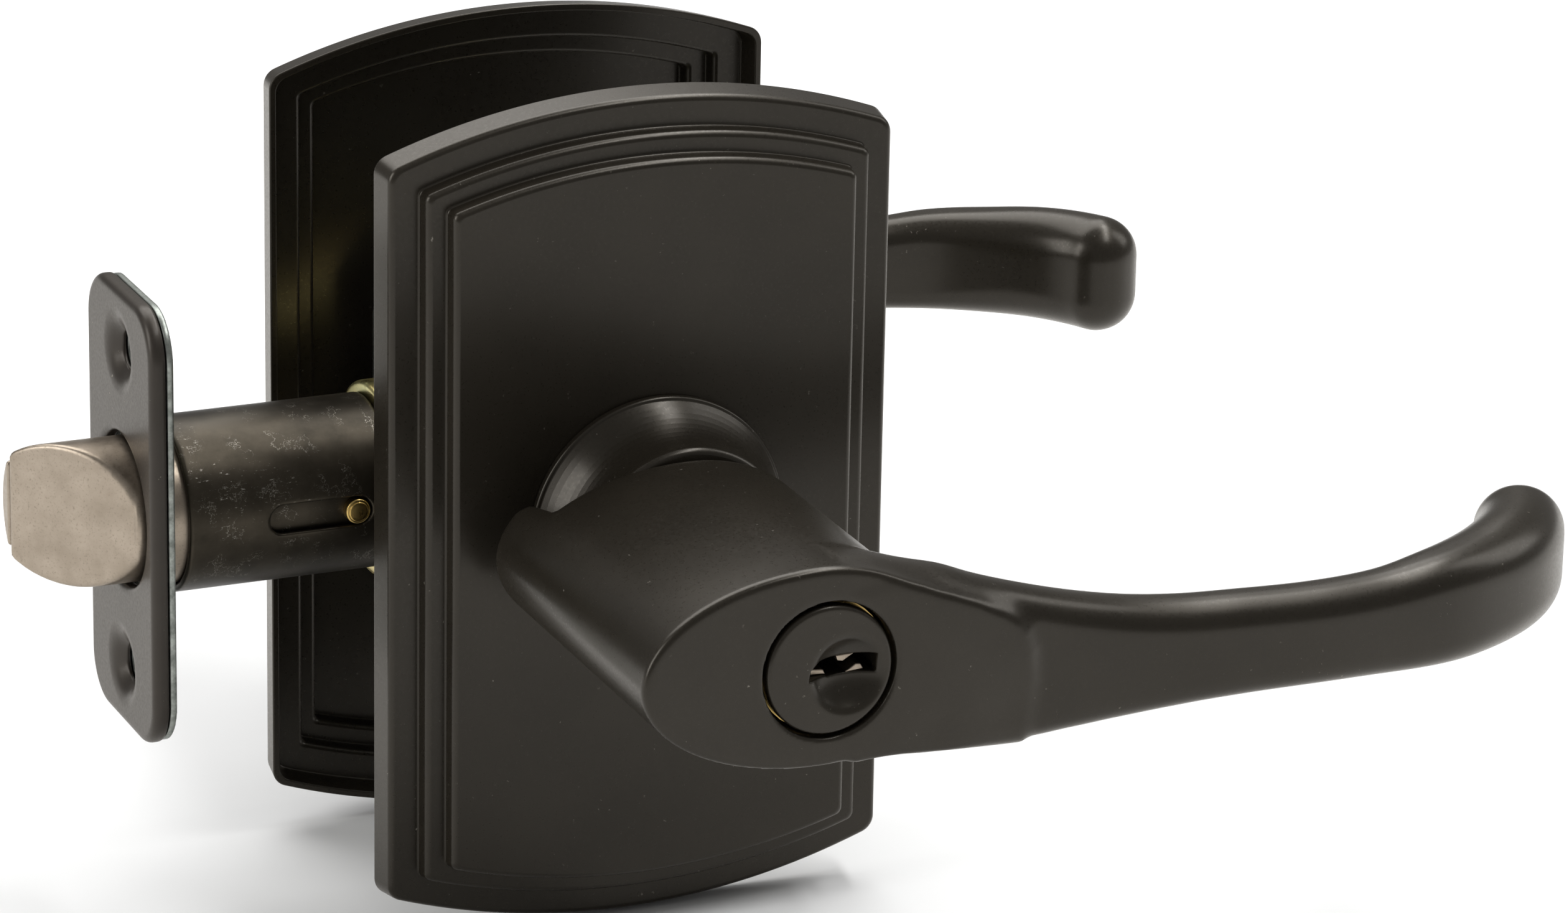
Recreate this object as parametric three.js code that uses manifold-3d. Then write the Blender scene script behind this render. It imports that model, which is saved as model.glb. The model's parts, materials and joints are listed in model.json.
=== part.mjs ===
// Keyed lever handle lockset with an adjustable tubular latch, in millimetres.
// Origin: spindle axis at the middle of the door. -Y is the outside (keyed) face of the door,
// +Y the inside, -X the door edge with the latch, +X the way the levers point, +Z up.
import * as THREE from "three";
import { mergeVertices } from "three/addons/utils/BufferGeometryUtils.js";
import Module from "manifold-3d";

const wasm = await Module();
wasm.setup();

// ---- Driving dimensions ----
const DOOR = 38; // door thickness the set is closed up to
const BACKSET = 60.3; // spindle axis to the outer face of the latch faceplate
const THROW = 12.7; // how far the bolt stands out of the faceplate
const GAP = 0.3; // clearance between neighbouring pieces

const ROSE_HALF_WIDTH = 33.2; // to the front edge of the outermost step
const ROSE_SIDE_HEIGHT = 47.4; // half height of the straight sides
const ROSE_RISE = 6.1; // rise of the arched ends over the straight sides
const ROSE_FLARE = 0.6; // the rim stands out past the front edge by this much
const ROSE_SHEET = 0.9;
const ROSE_LEVELS = [4.3, 6.7, 9.1]; // height of the three steps over the door face
const ROSE_INSETS = [0, 3.9, 6.6]; // how far each step is set in from the outermost one
const ROSE_EDGE = 0.8; // rounding of each step's front edge

const NECK_BASE_RADIUS = 16.9;
const NECK_LIP_RADIUS = 13.4;
const NECK_LENGTH = 11;
const NECK_SHANK = 5.2; // the neck's shank inside the rose

const HUB_REAR = 21.2; // rear end of a lever's hub, from the door face
const HUB_FRONT = 63.2; // front face of a lever's hub, from the door face
const OUTER_NOSE = 23.6; // the outer hub's long nose, on the latch side of the axis
const INNER_NOSE = 12.6; // the inner hub is round
const HEEL_REAR = 13.6; // the outer hub's nose reaches back beside the neck
const HEEL_START = -17.4;
const HUB_ARM_REACH = 15.5; // the hub's round side, under the root of the arm
const HUB_HALF_HEIGHT = 12.4;
const CYLINDER_BORE = 8.5;
const SPINDLE_BORE = 8.2;
const SPINDLE_RADIUS = 7.5;
const SPINDLE_HOLLOW = 3.4;
const SPINDLE_END = 35.5; // end of a spindle inside its lever, from the door face
const KEY_RADIUS = 5.6; // the spindle's key, which fills the cam hub
const KEY_FLAT = 4.6;
const HOUSING_END = 40; // rear end of the key cylinder's housing, from the door face
const PLUG_FACE = HUB_FRONT - 0.1;
const PLUG_FACE_BACK = PLUG_FACE - 2.2;
const PLUG_FACE_RADIUS = 8.05;
const PLUG_RADIUS = 6.35;
const PLUG_TAIL_RADIUS = 4.4;
const DIMPLE_RADIUS = 4.6;
const DIMPLE_OFFSET = 1.8;
const KEYWAY_LOW = -2.7; // ends of the keyway, across the face
const KEYWAY_HIGH = 6.1;
const PLATE_DISC_RADIUS = 25; // steel mounting plate, a disc with straight sides
const PLATE_DISC_HALF_WIDTH = 19.5;
const SCREW_HEIGHT = 20.6; // the mounting screws, above and below the spindle
const POST_RADIUS = 3.4;
const POST_BORE = 2;
const POST_LENGTH = 30;

// Middle line of the arm seen from above, as X and distance from the door face: it runs along
// the door, then bends back toward it.
const ARM_LINE = [
  [6, 57.5], [22, 57.8], [40, 57.8], [56, 58.3], [70, 58.2],
  [84, 56.2], [92, 52.9], [98.6, 48.6], [103, 43.8], [106.8, 36.6],
];
// Heights of the arm's top and bottom edges, by X.
const ARM_TOP = [
  [7, 11.2], [16, 9.3], [21, 7.4], [27.5, 5.3], [34.5, 3.4], [41.4, 2],
  [48, 1.25], [56, 0.9], [66, 0.6], [76, 0.7], [84, 1.5], [92, 2], [99, 2.6], [107, 2.8],
];
const ARM_BOTTOM = [
  [7, -12.5], [26, -13.5], [33, -13.1], [40, -12.6], [53, -11.8],
  [68, -11.7], [82, -12.3], [95, -13.1], [107, -13.9],
];
const ARM_DEPTH = 7.8;
const ARM_SWELL = 3.8; // added to the depth toward the arm's full, round end
const ARM_SWELL_START = 74; // X where the swelling begins, and where it is complete
const ARM_SWELL_END = 100;
const ARM_SQUARENESS = 0.62; // exponent of the section's outline: 1 is an ellipse
const ARM_END_CAP = 5.8; // length of the arm's rounded end

const PLATE_WIDTH = 25.4; // latch faceplate
const PLATE_HEIGHT = 57.15;
const PLATE_CORNER = 6.35;
const PLATE_THICKNESS = 2;
const BACK_PLATE_THICKNESS = 0.9;
const SCREW_SPACING = 41.3;
const TUBE_RADIUS = 11.1;
const TUBE_WALL = 0.9;
const TUBE_START = -54.8; // outer end of the latch tube
const CASE_START = -27.6; // the retractor case, from the end of the tube past the spindle
const CASE_END = 14;
const CASE_HALF_WIDTH = 12;
const CASE_HALF_HEIGHT = 12.5; // within the 25.4 mm bore of the door edge
const CASE_CORNER = 11.9;
const CASE_WALL = 1.2;
const BOLT_RADIUS = 9.2;
const BOLT_FLAT = 6.2; // the bolt's flat side, toward the inside of the door
const BOLT_REAR = -50;
const PLUNGER_REAR = -55.6;
const SLOT_START = -44.4;
const SLOT_WIDTH = 3.7;
const PIN_X = -32.9; // backset pin, at the rear end of its slot
const PIN_RADIUS = 1.6;
const SCREW_HOLE = 2.4;
const COUNTERSINK_RADIUS = 4.5;
const SLEEVE_RADIUS = 10;
const SLEEVE_WALL = 0.5;
const SLEEVE_END = -30.4;
const CAM_RADIUS = 7.3;
const CAM_HALF_LENGTH = 8.2;
const LOBE_PLACE = 3.9; // middle of each pair of cam lobes, along the axis
const LOBE_REACH = 9.9;
const RAIL_HALF_WIDTH = 2.3; // retractor rails, between the pairs of lobes
const RAIL_INNER = 9;
const RAIL_OUTER = 10.7;
const RETRACTOR_START = -25.6;
const RETRACTOR_END = 12;
const TAIL_END = -22;

const FACE = DOOR / 2; // distance of each door face from the origin

// ---- Materials ----
const finish = (color, roughness, metalness) =>
  new THREE.MeshStandardMaterial({ color, roughness, metalness });
const black = () => finish(0x3a3732, 0.42, 0.35);
const nickel = () => finish(0xb9af9e, 0.35, 0.9);
const darkSteel = () => finish(0x5a5650, 0.45, 0.9);
const zinc = () => finish(0xa8aba6, 0.4, 0.9);
const yellowZinc = () => finish(0xb89a55, 0.35, 0.9);
const brass = () => finish(0xb08a3c, 0.3, 0.95);
const springSteel = () => finish(0x8d9094, 0.35, 0.95);

// ---- Solids and booleans ----
// A closed three.js geometry as a manifold solid.
function solid(geometry) {
  const bare = geometry.index ? geometry.toNonIndexed() : geometry.clone();
  bare.deleteAttribute("normal");
  bare.deleteAttribute("uv");
  const merged = mergeVertices(bare, 1e-4);
  return new wasm.Manifold(
    new wasm.Mesh({
      numProp: 3,
      vertProperties: merged.attributes.position.array,
      triVerts: new Uint32Array(merged.index.array),
    }),
  );
}

function geometryOf(manifold) {
  const mesh = manifold.getMesh();
  const geometry = new THREE.BufferGeometry();
  geometry.setAttribute("position", new THREE.BufferAttribute(mesh.vertProperties, 3));
  geometry.setIndex(new THREE.BufferAttribute(mesh.triVerts, 1));
  const flat = geometry.toNonIndexed();
  flat.computeVertexNormals();
  return flat;
}

// A solid body as a named mesh.
function piece(name, manifold, material) {
  const mesh = new THREE.Mesh(geometryOf(manifold), material);
  mesh.name = name;
  return mesh;
}

// The outside half of the set is built standing out from the door face along -Y, from y = 0.
// Both halves use it: the inner group is mirrored.
function cylinderY(radius, from, to, segments = 32) {
  const g = new THREE.CylinderGeometry(radius, radius, to - from, segments);
  g.translate(0, -(from + to) / 2, 0);
  return solid(g);
}

function boxAt(x0, x1, y0, y1, z0, z1) {
  const g = new THREE.BoxGeometry(x1 - x0, y1 - y0, z1 - z0);
  g.translate((x0 + x1) / 2, (y0 + y1) / 2, (z0 + z1) / 2);
  return solid(g);
}

function cylinderX(radius, from, to, segments = 32) {
  const g = new THREE.CylinderGeometry(radius, radius, to - from, segments);
  g.rotateZ(Math.PI / 2);
  g.translate((from + to) / 2, 0, 0);
  return solid(g);
}

// A shape drawn in X and Z, extruded away from the door face: from height a to height b.
function extrudeY(shape, a, b, bevel = 0, curveSegments = 12) {
  const g = new THREE.ExtrudeGeometry(shape, {
    depth: b - a - bevel,
    bevelEnabled: bevel > 0,
    bevelSize: bevel,
    bevelThickness: bevel,
    bevelOffset: -bevel,
    bevelSegments: 2,
    curveSegments,
  });
  g.rotateX(Math.PI / 2);
  g.translate(0, -a, 0);
  return solid(g);
}

// A solid of revolution about the Y axis from (radius, height over the door face) pairs.
function turnY(profile, segments = 40) {
  const points = profile.map(([radius, height]) => new THREE.Vector2(radius, -height));
  points.push(points[0].clone());
  return solid(new THREE.LatheGeometry(points.reverse(), segments));
}

// A closed surface through rings of points that all have the same count, capped at both ends.
function loft(rings) {
  const count = rings[0].length;
  const positions = rings.flat().flatMap((p) => [p.x, p.y, p.z]);
  const index = [];
  for (let r = 0; r + 1 < rings.length; r++)
    for (let i = 0; i < count; i++) {
      const a = r * count + i;
      const b = r * count + ((i + 1) % count);
      index.push(a, b, b + count, a, b + count, a + count);
    }
  const cap = (ring, base, flip) => {
    const centre = positions.length / 3;
    const middle = ring.reduce((sum, p) => sum.add(p), new THREE.Vector3());
    middle.divideScalar(count);
    positions.push(middle.x, middle.y, middle.z);
    for (let i = 0; i < count; i++) {
      const a = base + i;
      const b = base + ((i + 1) % count);
      if (flip) index.push(centre, b, a);
      else index.push(centre, a, b);
    }
  };
  cap(rings[0], 0, true);
  cap(rings.at(-1), (rings.length - 1) * count, false);
  const g = new THREE.BufferGeometry();
  g.setAttribute("position", new THREE.Float32BufferAttribute(positions, 3));
  g.setIndex(index);
  const made = solid(g);
  if (made.volume() > 0) return made;
  index.reverse();
  g.setIndex(index);
  return solid(g);
}

// A round wire coiled about an axis, drawn about Z and then turned by the caller.
class Helix extends THREE.Curve {
  constructor(radius, pitch, turns, start = 0) {
    super();
    Object.assign(this, { radius, pitch, turns, start });
  }
  getPoint(t, target = new THREE.Vector3()) {
    const angle = this.start + t * this.turns * 2 * Math.PI;
    const r = this.radius;
    return target.set(r * Math.cos(angle), r * Math.sin(angle), t * this.turns * this.pitch);
  }
}

function coil(radius, wire, pitch, turns, perTurn = 16) {
  const section = new THREE.Shape().absellipse(0, 0, wire, wire, 0, 2 * Math.PI);
  return new THREE.ExtrudeGeometry(section, {
    extrudePath: new Helix(radius, pitch, turns),
    steps: Math.round(turns * perTurn),
    curveSegments: 3,
    bevelEnabled: false,
  });
}

// ---- Roses ----
// One closed outline of a rose, set in from the outermost front edge and raised off the door.
function roseRing(inset, height) {
  const archRadius = (ROSE_HALF_WIDTH ** 2 + ROSE_RISE ** 2) / (2 * ROSE_RISE);
  const archCentre = ROSE_SIDE_HEIGHT + ROSE_RISE - archRadius;
  const radius = archRadius - inset;
  const half = ROSE_HALF_WIDTH - inset;
  const corner = 2.2 - Math.min(inset, 4) * 0.3;
  const reach = Math.asin((half - corner) / radius);
  const topEnd = archCentre + Math.sqrt(radius ** 2 - half ** 2);
  const ring = [];
  const archSteps = 10;
  for (let i = 0; i <= archSteps; i++) {
    const a = reach - (2 * reach * i) / archSteps;
    ring.push([radius * Math.sin(a), archCentre + radius * Math.cos(a)]);
  }
  const [cornerX, cornerZ] = ring.at(-1);
  for (let i = 1; i <= 3; i++) {
    const t = i / 4;
    const x = (1 - t) ** 2 * cornerX + 2 * t * (1 - t) * -half - t ** 2 * half;
    const z = (1 - t) ** 2 * cornerZ + 2 * t * (1 - t) * topEnd + t ** 2 * (topEnd - corner);
    ring.push([x, z]);
  }
  ring.push([-half, topEnd - corner]);
  const left = ring.slice(archSteps + 1);
  const right = left.map(([x, z]) => [-x, z]).reverse();
  const upper = [...right, ...ring];
  const lower = upper.map(([x, z]) => [-x, -z]);
  return [...upper, ...lower].map(([x, z]) => new THREE.Vector3(x, -height, z));
}

// Rings from the rim up over the three steps, for the outer skin or one sheet thickness inside it.
function roseSkin(sheet) {
  const edge = ROSE_EDGE;
  const rings = [roseRing(-ROSE_FLARE + sheet, sheet > 0 ? -1 : 0)];
  ROSE_LEVELS.forEach((level, i) => {
    const inset = ROSE_INSETS[i] + sheet;
    const top = level - sheet;
    if (i > 0) rings.push(roseRing(inset - 0.3, ROSE_LEVELS[i - 1] - sheet));
    rings.push(roseRing(inset, top - edge));
    if (sheet === 0) rings.push(roseRing(inset + 0.29 * edge, top - 0.29 * edge));
    rings.push(roseRing(inset + edge, top));
  });
  return rings;
}

function rose() {
  const neckHole = cylinderY(NECK_BASE_RADIUS - 2.2, 0, 12);
  return loft(roseSkin(0)).subtract(loft(roseSkin(ROSE_SHEET))).subtract(neckHole);
}

// Flared collar that carries the lever's hub and stands on the top step of the rose.
function neck() {
  const base = ROSE_LEVELS[2] + GAP / 2;
  const lip = base + NECK_LENGTH;
  const bore = SPINDLE_RADIUS + 1.4;
  const flare = [];
  for (let i = 0; i <= 4; i++) {
    const t = i / 4;
    const spread = (NECK_BASE_RADIUS - NECK_LIP_RADIUS) * (1 - t) ** 2;
    flare.push([NECK_LIP_RADIUS - 0.2 + spread, base + 0.6 + 7.6 * t]);
  }
  return turnY([
    [bore, base - NECK_SHANK],
    [NECK_BASE_RADIUS - 2.6, base - NECK_SHANK],
    [NECK_BASE_RADIUS - 2.6, base],
    [NECK_BASE_RADIUS, base],
    ...flare,
    [NECK_LIP_RADIUS, lip - 0.7],
    [NECK_LIP_RADIUS - 0.5, lip],
    [bore, lip],
  ], 28);
}

// ---- Levers ----
// Outline of a hub in X and Z: an oval, with its nose toward the latch.
function hubShape(nose) {
  const shape = new THREE.Shape();
  const x0 = -1;
  const z0 = 0.3;
  shape.absellipse(x0, z0, nose + x0, HUB_HALF_HEIGHT, Math.PI / 2, (3 * Math.PI) / 2);
  shape.absellipse(x0, z0, HUB_ARM_REACH - x0, HUB_HALF_HEIGHT, -Math.PI / 2, Math.PI / 2);
  return shape;
}

// The outer hub seen from above: straight across behind the neck, with a rounded heel at the nose.
function heelProfile() {
  const shape = new THREE.Shape();
  shape.moveTo(HUB_ARM_REACH + 2, HUB_REAR);
  shape.lineTo(HUB_ARM_REACH + 2, HUB_FRONT + 1);
  shape.lineTo(-OUTER_NOSE - 1, HUB_FRONT + 1);
  shape.lineTo(-OUTER_NOSE - 1, HEEL_REAR + 3.4);
  shape.quadraticCurveTo(-OUTER_NOSE, HEEL_REAR, HEEL_START - 3, HEEL_REAR);
  shape.quadraticCurveTo(HEEL_START - 0.6, HEEL_REAR + 0.6, HEEL_START, HUB_REAR);
  const g = new THREE.ExtrudeGeometry(shape, { depth: 40, bevelEnabled: false, curveSegments: 5 });
  g.translate(0, 0, -20);
  g.rotateX(Math.PI);
  return solid(g);
}

function armLine() {
  const points = ARM_LINE.map(([x, out]) => new THREE.Vector3(x, -out, 0));
  return new THREE.CatmullRomCurve3(points, false, "centripetal");
}

// Height of an edge at x, between the two nearest entries of its table.
function edgeHeight(table, x) {
  const i = table.findIndex(([end]) => end >= x);
  if (i < 1) return table[i === 0 ? 0 : table.length - 1][1];
  const [x0, z0] = table[i - 1];
  const [x1, z1] = table[i];
  return THREE.MathUtils.mapLinear(x, x0, x1, z0, z1);
}

function armSection(line, t, shrink) {
  const p = line.getPointAt(t);
  const along = line.getTangentAt(t);
  const side = new THREE.Vector3(-along.y, along.x, 0);
  const top = edgeHeight(ARM_TOP, p.x);
  const bottom = edgeHeight(ARM_BOTTOM, p.x);
  const middle = (top + bottom) / 2;
  const halfHeight = ((top - bottom) / 2) * shrink;
  const swell = THREE.MathUtils.smoothstep(p.x, ARM_SWELL_START, ARM_SWELL_END);
  const halfDepth = ((ARM_DEPTH + ARM_SWELL * swell) / 2) * shrink;
  const power = THREE.MathUtils.lerp(ARM_SQUARENESS, 0.9, swell);
  const count = 20;
  const ring = [];
  for (let i = 0; i < count; i++) {
    const a = (2 * Math.PI * i) / count;
    const c = Math.cos(a);
    const s = Math.sin(a);
    const out = halfDepth * Math.sign(c) * Math.abs(c) ** power;
    const up = halfHeight * Math.sign(s) * Math.abs(s) ** power;
    ring.push(new THREE.Vector3(p.x + side.x * out, p.y + side.y * out, middle + up));
  }
  return ring;
}

function arm() {
  const line = armLine();
  const capStart = 1 - ARM_END_CAP / line.getLength();
  const rings = [];
  const steps = 20;
  for (let i = 0; i < steps; i++) rings.push(armSection(line, (capStart * i) / steps, 1));
  for (const angle of [0, 0.4, 0.75, 1.05, 1.3]) {
    const t = capStart + (1 - capStart) * Math.sin(angle);
    rings.push(armSection(line, t, Math.cos(angle)));
  }
  return loft(rings);
}

// The outer lever is bored for the key cylinder and its pin chamber.
function outerLever() {
  return extrudeY(hubShape(OUTER_NOSE), HEEL_REAR - 1, HUB_FRONT, 0.9, 9)
    .intersect(heelProfile())
    .add(arm())
    .subtract(cylinderY(CYLINDER_BORE, 36, HUB_FRONT + 1, 40))
    .subtract(boxAt(-14.2, 0, 4 - HUB_FRONT, -36, -3.6, 3.6))
    .subtract(cylinderY(SPINDLE_BORE, HUB_REAR - 1, 38, 32));
}

// The inner lever is bored for the spindle, the turn button's seat and its shaft.
function innerLever() {
  return extrudeY(hubShape(INNER_NOSE), HUB_REAR, HUB_FRONT, 0.9, 9)
    .add(arm())
    .subtract(cylinderY(6.2, HUB_FRONT - 3, HUB_FRONT + 1, 32))
    .subtract(cylinderY(3.4, 36, HUB_FRONT + 1, 24))
    .subtract(cylinderY(SPINDLE_BORE, HUB_REAR - 1, 38, 32));
}

// ---- Spindles, springs, plates and screws of one side ----
// Tubular lever spindle with a spring driver flange. Its latch end is a key with two flats,
// which drives the cam hub.
function spindle() {
  const tube = cylinderY(SPINDLE_RADIUS, CASE_HALF_WIDTH - FACE + 0.5, SPINDLE_END, 24);
  const flange = cylinderY(12, 2.3, 3.4, 24);
  const keyEnd = GAP - FACE;
  const key = cylinderY(KEY_RADIUS, keyEnd, 0, 24).intersect(
    boxAt(-KEY_RADIUS, KEY_RADIUS, 0, FACE, -KEY_FLAT, KEY_FLAT),
  );
  const bore = cylinderY(SPINDLE_HOLLOW, -FACE, SPINDLE_END + 1, 16);
  const slot = boxAt(SPINDLE_RADIUS - 2.4, SPINDLE_RADIUS + 1, -34, -27, -1.8, 1.8);
  return tube.add(flange).add(key).subtract(bore).subtract(slot);
}

// Spring catch that keeps the lever on its spindle, in a slot of the spindle's wall.
function leverCatch() {
  const tongue = boxAt(SPINDLE_RADIUS - 2.2, SPINDLE_RADIUS - 0.6, -33.7, -27.3, -1.5, 1.5);
  const nib = boxAt(SPINDLE_RADIUS - 0.8, SPINDLE_RADIUS + 0.3, -31, -29, -1.2, 1.2);
  return tongue.add(nib);
}

// Steel mounting plate against the door, with a boss round the spindle and two spring stops.
function plateBlank(screwHole) {
  const stop = (x) => boxAt(x - 1.2, x + 1.2, -6.4, -1.7, -21.6, -19);
  const half = PLATE_DISC_HALF_WIDTH;
  let made = cylinderY(PLATE_DISC_RADIUS, 0, 1.8, 32)
    .intersect(boxAt(-half, half, -3, 1, -PLATE_DISC_RADIUS, PLATE_DISC_RADIUS))
    .add(stop(-8))
    .add(stop(8));
  made = made.subtract(cylinderY(SPINDLE_RADIUS + 0.5, -1, 3, 24));
  for (const z of [-SCREW_HEIGHT, SCREW_HEIGHT])
    made = made.subtract(cylinderY(screwHole, -1, 3, 16).translate([0, 0, z]));
  return made;
}

// The outer plate carries the two threaded posts that reach through the door.
function outerPlate() {
  let made = plateBlank(POST_BORE);
  for (const z of [-SCREW_HEIGHT, SCREW_HEIGHT]) {
    const post = cylinderY(POST_RADIUS, -POST_LENGTH, 0.5, 16);
    const bore = cylinderY(POST_BORE, -POST_LENGTH - 1, 3, 16);
    made = made.add(post.subtract(bore).translate([0, 0, z]));
  }
  return made;
}

// Machine screw with a domed, slotted head, standing in the inner plate and an outer post.
function mountingScrew() {
  const shank = cylinderY(POST_BORE - 0.2, -24, 2.2, 16);
  const head = turnY([
    [0, 2.1],
    [3.6, 2.1],
    [3.6, 3],
    [2.6, 4],
    [0, 4.4],
  ], 20);
  return shank.add(head).subtract(boxAt(-4, 4, -5, -3.4, -0.4, 0.4));
}

// Torsion spring that brings the lever back to level, coiled round the neck's shank.
function returnSpring() {
  const g = coil(16.4, 0.7, 1.62, 2, 16);
  g.rotateX(Math.PI / 2);
  g.translate(0, -3.9, 0);
  return solid(g);
}

// ---- Key cylinder ----
// Round housing with its pin chamber toward the latch, bored for the plug.
function cylinderHousing() {
  const round = cylinderY(CYLINDER_BORE - GAP, HOUSING_END, PLUG_FACE_BACK - GAP, 36);
  const chamber = boxAt(-13.6, 0, -(PLUG_FACE_BACK - 3), -HOUSING_END, -3.2, 3.2);
  return round.add(chamber).subtract(cylinderY(PLUG_RADIUS + GAP, HOUSING_END - 1, HUB_FRONT, 32));
}

// The keyway runs off centre, away from the pins, with a ward down each side.
function keyway() {
  const shape = new THREE.Shape();
  shape.moveTo(KEYWAY_LOW, -1.1);
  shape.lineTo(0.2, -1.1);
  shape.lineTo(0.9, -0.35);
  shape.lineTo(2, -0.35);
  shape.lineTo(2.7, -1.1);
  shape.lineTo(KEYWAY_HIGH, -1.1);
  shape.lineTo(KEYWAY_HIGH, 1.1);
  shape.lineTo(4.6, 1.1);
  shape.lineTo(3.9, 0.4);
  shape.lineTo(3, 0.4);
  shape.lineTo(2.3, 1.1);
  shape.lineTo(KEYWAY_LOW, 1.1);
  return extrudeY(shape, HOUSING_END + 2, HUB_FRONT, 0);
}

// Plug with a wide face disc, a dished dimple round the keyway and the keyway itself.
function cylinderPlug() {
  const face = turnY([
    [0, PLUG_FACE_BACK],
    [PLUG_FACE_RADIUS, PLUG_FACE_BACK],
    [PLUG_FACE_RADIUS, PLUG_FACE - 0.3],
    [PLUG_FACE_RADIUS - 0.3, PLUG_FACE],
    [0, PLUG_FACE],
  ], 36);
  const dimple = turnY([
    [0, PLUG_FACE - 1.7],
    [1.2, PLUG_FACE - 1.6],
    [DIMPLE_RADIUS - 0.5, PLUG_FACE - 0.15],
    [DIMPLE_RADIUS, PLUG_FACE + 0.1],
    [0, PLUG_FACE + 0.1],
  ], 24).translate([DIMPLE_OFFSET, 0, 0]);
  const shank = cylinderY(PLUG_RADIUS, HOUSING_END - 0.6, PLUG_FACE_BACK + 0.1, 24);
  return shank.add(face).subtract(dimple).subtract(keyway());
}

// C-clip behind the housing that keeps the plug in it.
function plugClip() {
  const groove = HOUSING_END - 0.9;
  return cylinderY(7.4, groove - 1, groove, 28)
    .subtract(cylinderY(PLUG_TAIL_RADIUS + GAP, groove - 2, groove + 1, 24))
    .subtract(boxAt(0, 9, -groove - 1, -groove + 2, -2.6, 2.6));
}

// Flat tailpiece that the plug turns, running through the spindle to the latch.
function tailpiece() {
  const root = cylinderY(PLUG_TAIL_RADIUS, HOUSING_END - 2.6, HOUSING_END - 0.9, 24);
  return root.add(boxAt(-3, 3, -(HOUSING_END - 2.4), FACE - 2, -0.8, 0.8));
}

// ---- Turn button of the inner lever ----
function turnButton() {
  const seat = turnY([
    [0, HUB_FRONT - 2.6],
    [5.9, HUB_FRONT - 2.6],
    [5.9, HUB_FRONT + 0.6],
    [5.2, HUB_FRONT + 1.2],
    [0, HUB_FRONT + 1.2],
  ], 36);
  const wing = new THREE.Shape();
  wing.moveTo(-5.6, HUB_FRONT);
  wing.lineTo(5.6, HUB_FRONT);
  wing.lineTo(5.2, HUB_FRONT + 7.4);
  wing.quadraticCurveTo(0, HUB_FRONT + 9.2, -5.2, HUB_FRONT + 7.4);
  wing.lineTo(-5.6, HUB_FRONT);
  const blade = new THREE.ExtrudeGeometry(wing, {
    depth: 1.8,
    bevelSize: 0.5,
    bevelThickness: 0.5,
    bevelSegments: 2,
    curveSegments: 8,
  });
  blade.translate(0, 0, -0.9);
  blade.rotateX(Math.PI);
  return seat.add(solid(blade).intersect(boxAt(-9, 9, -HUB_FRONT - 12, -HUB_FRONT, -5, 5)));
}

function lockShaft() {
  const round = cylinderY(2.4, 33, HUB_FRONT - 3, 20);
  return round.add(boxAt(-3, 3, -34, FACE - 2, -0.8, 0.8));
}

// ---- Latch, drawn in the set's own frame ----
// A shape drawn in Y and Z, extruded along X from x0 to x1, with a rounded edge at x0.
function extrudeX(shape, x0, x1, bevel = 0) {
  const g = new THREE.ExtrudeGeometry(shape, {
    depth: x1 - x0,
    bevelEnabled: bevel > 0,
    bevelSize: bevel,
    bevelThickness: bevel,
    bevelOffset: -bevel,
    bevelSegments: 2,
    curveSegments: 5,
  });
  g.rotateX(Math.PI / 2);
  g.rotateZ(Math.PI / 2);
  g.translate(x0 + bevel, 0, 0);
  return solid(g).intersect(boxAt(x0, x1, -60, 60, -60, 60));
}

// Rounded rectangle in Y and Z.
function roundedRectangle(width, height, corner) {
  const w = width / 2 - corner;
  const h = height / 2 - corner;
  const shape = new THREE.Shape();
  shape.absarc(w, h, corner, 0, Math.PI / 2);
  shape.absarc(-w, h, corner, Math.PI / 2, Math.PI);
  shape.absarc(-w, -h, corner, Math.PI, 1.5 * Math.PI);
  shape.absarc(w, -h, corner, 1.5 * Math.PI, 2 * Math.PI);
  return shape;
}

// Faceplate with soft front edges, the bolt hole and two countersunk screw holes.
function faceplate() {
  const front = -BACKSET;
  const back = front + PLATE_THICKNESS;
  const outline = roundedRectangle(PLATE_WIDTH, PLATE_HEIGHT, PLATE_CORNER);
  let made = extrudeX(outline, front, back, 0.8).subtract(
    cylinderX(BOLT_RADIUS + 0.6, front - 1, back + 1, 32),
  );
  for (const z of [-SCREW_SPACING / 2, SCREW_SPACING / 2]) {
    const cone = new THREE.CylinderGeometry(COUNTERSINK_RADIUS, SCREW_HOLE, PLATE_THICKNESS - 0.2, 16);
    cone.rotateZ(Math.PI / 2);
    cone.translate(front + PLATE_THICKNESS / 2 - 0.1, 0, z);
    made = made.subtract(solid(cone)).subtract(
      cylinderX(SCREW_HOLE, front - 1, back + 1, 16).translate([0, 0, z]),
    );
  }
  return made;
}

// Thin zinc plate just behind the faceplate, with a hole that the sleeve passes through.
function backPlate() {
  const front = -BACKSET + PLATE_THICKNESS + 0.15;
  const back = front + BACK_PLATE_THICKNESS;
  const outline = roundedRectangle(PLATE_WIDTH - 0.3, PLATE_HEIGHT - 0.3, PLATE_CORNER);
  let made = extrudeX(outline, front, back);
  made = made.subtract(cylinderX(SLEEVE_RADIUS + GAP, front - 1, back + 1, 32));
  for (const z of [-SCREW_SPACING / 2, SCREW_SPACING / 2])
    made = made.subtract(cylinderX(SCREW_HOLE + 0.4, front - 1, back + 1, 16).translate([0, 0, z]));
  return made;
}

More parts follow.
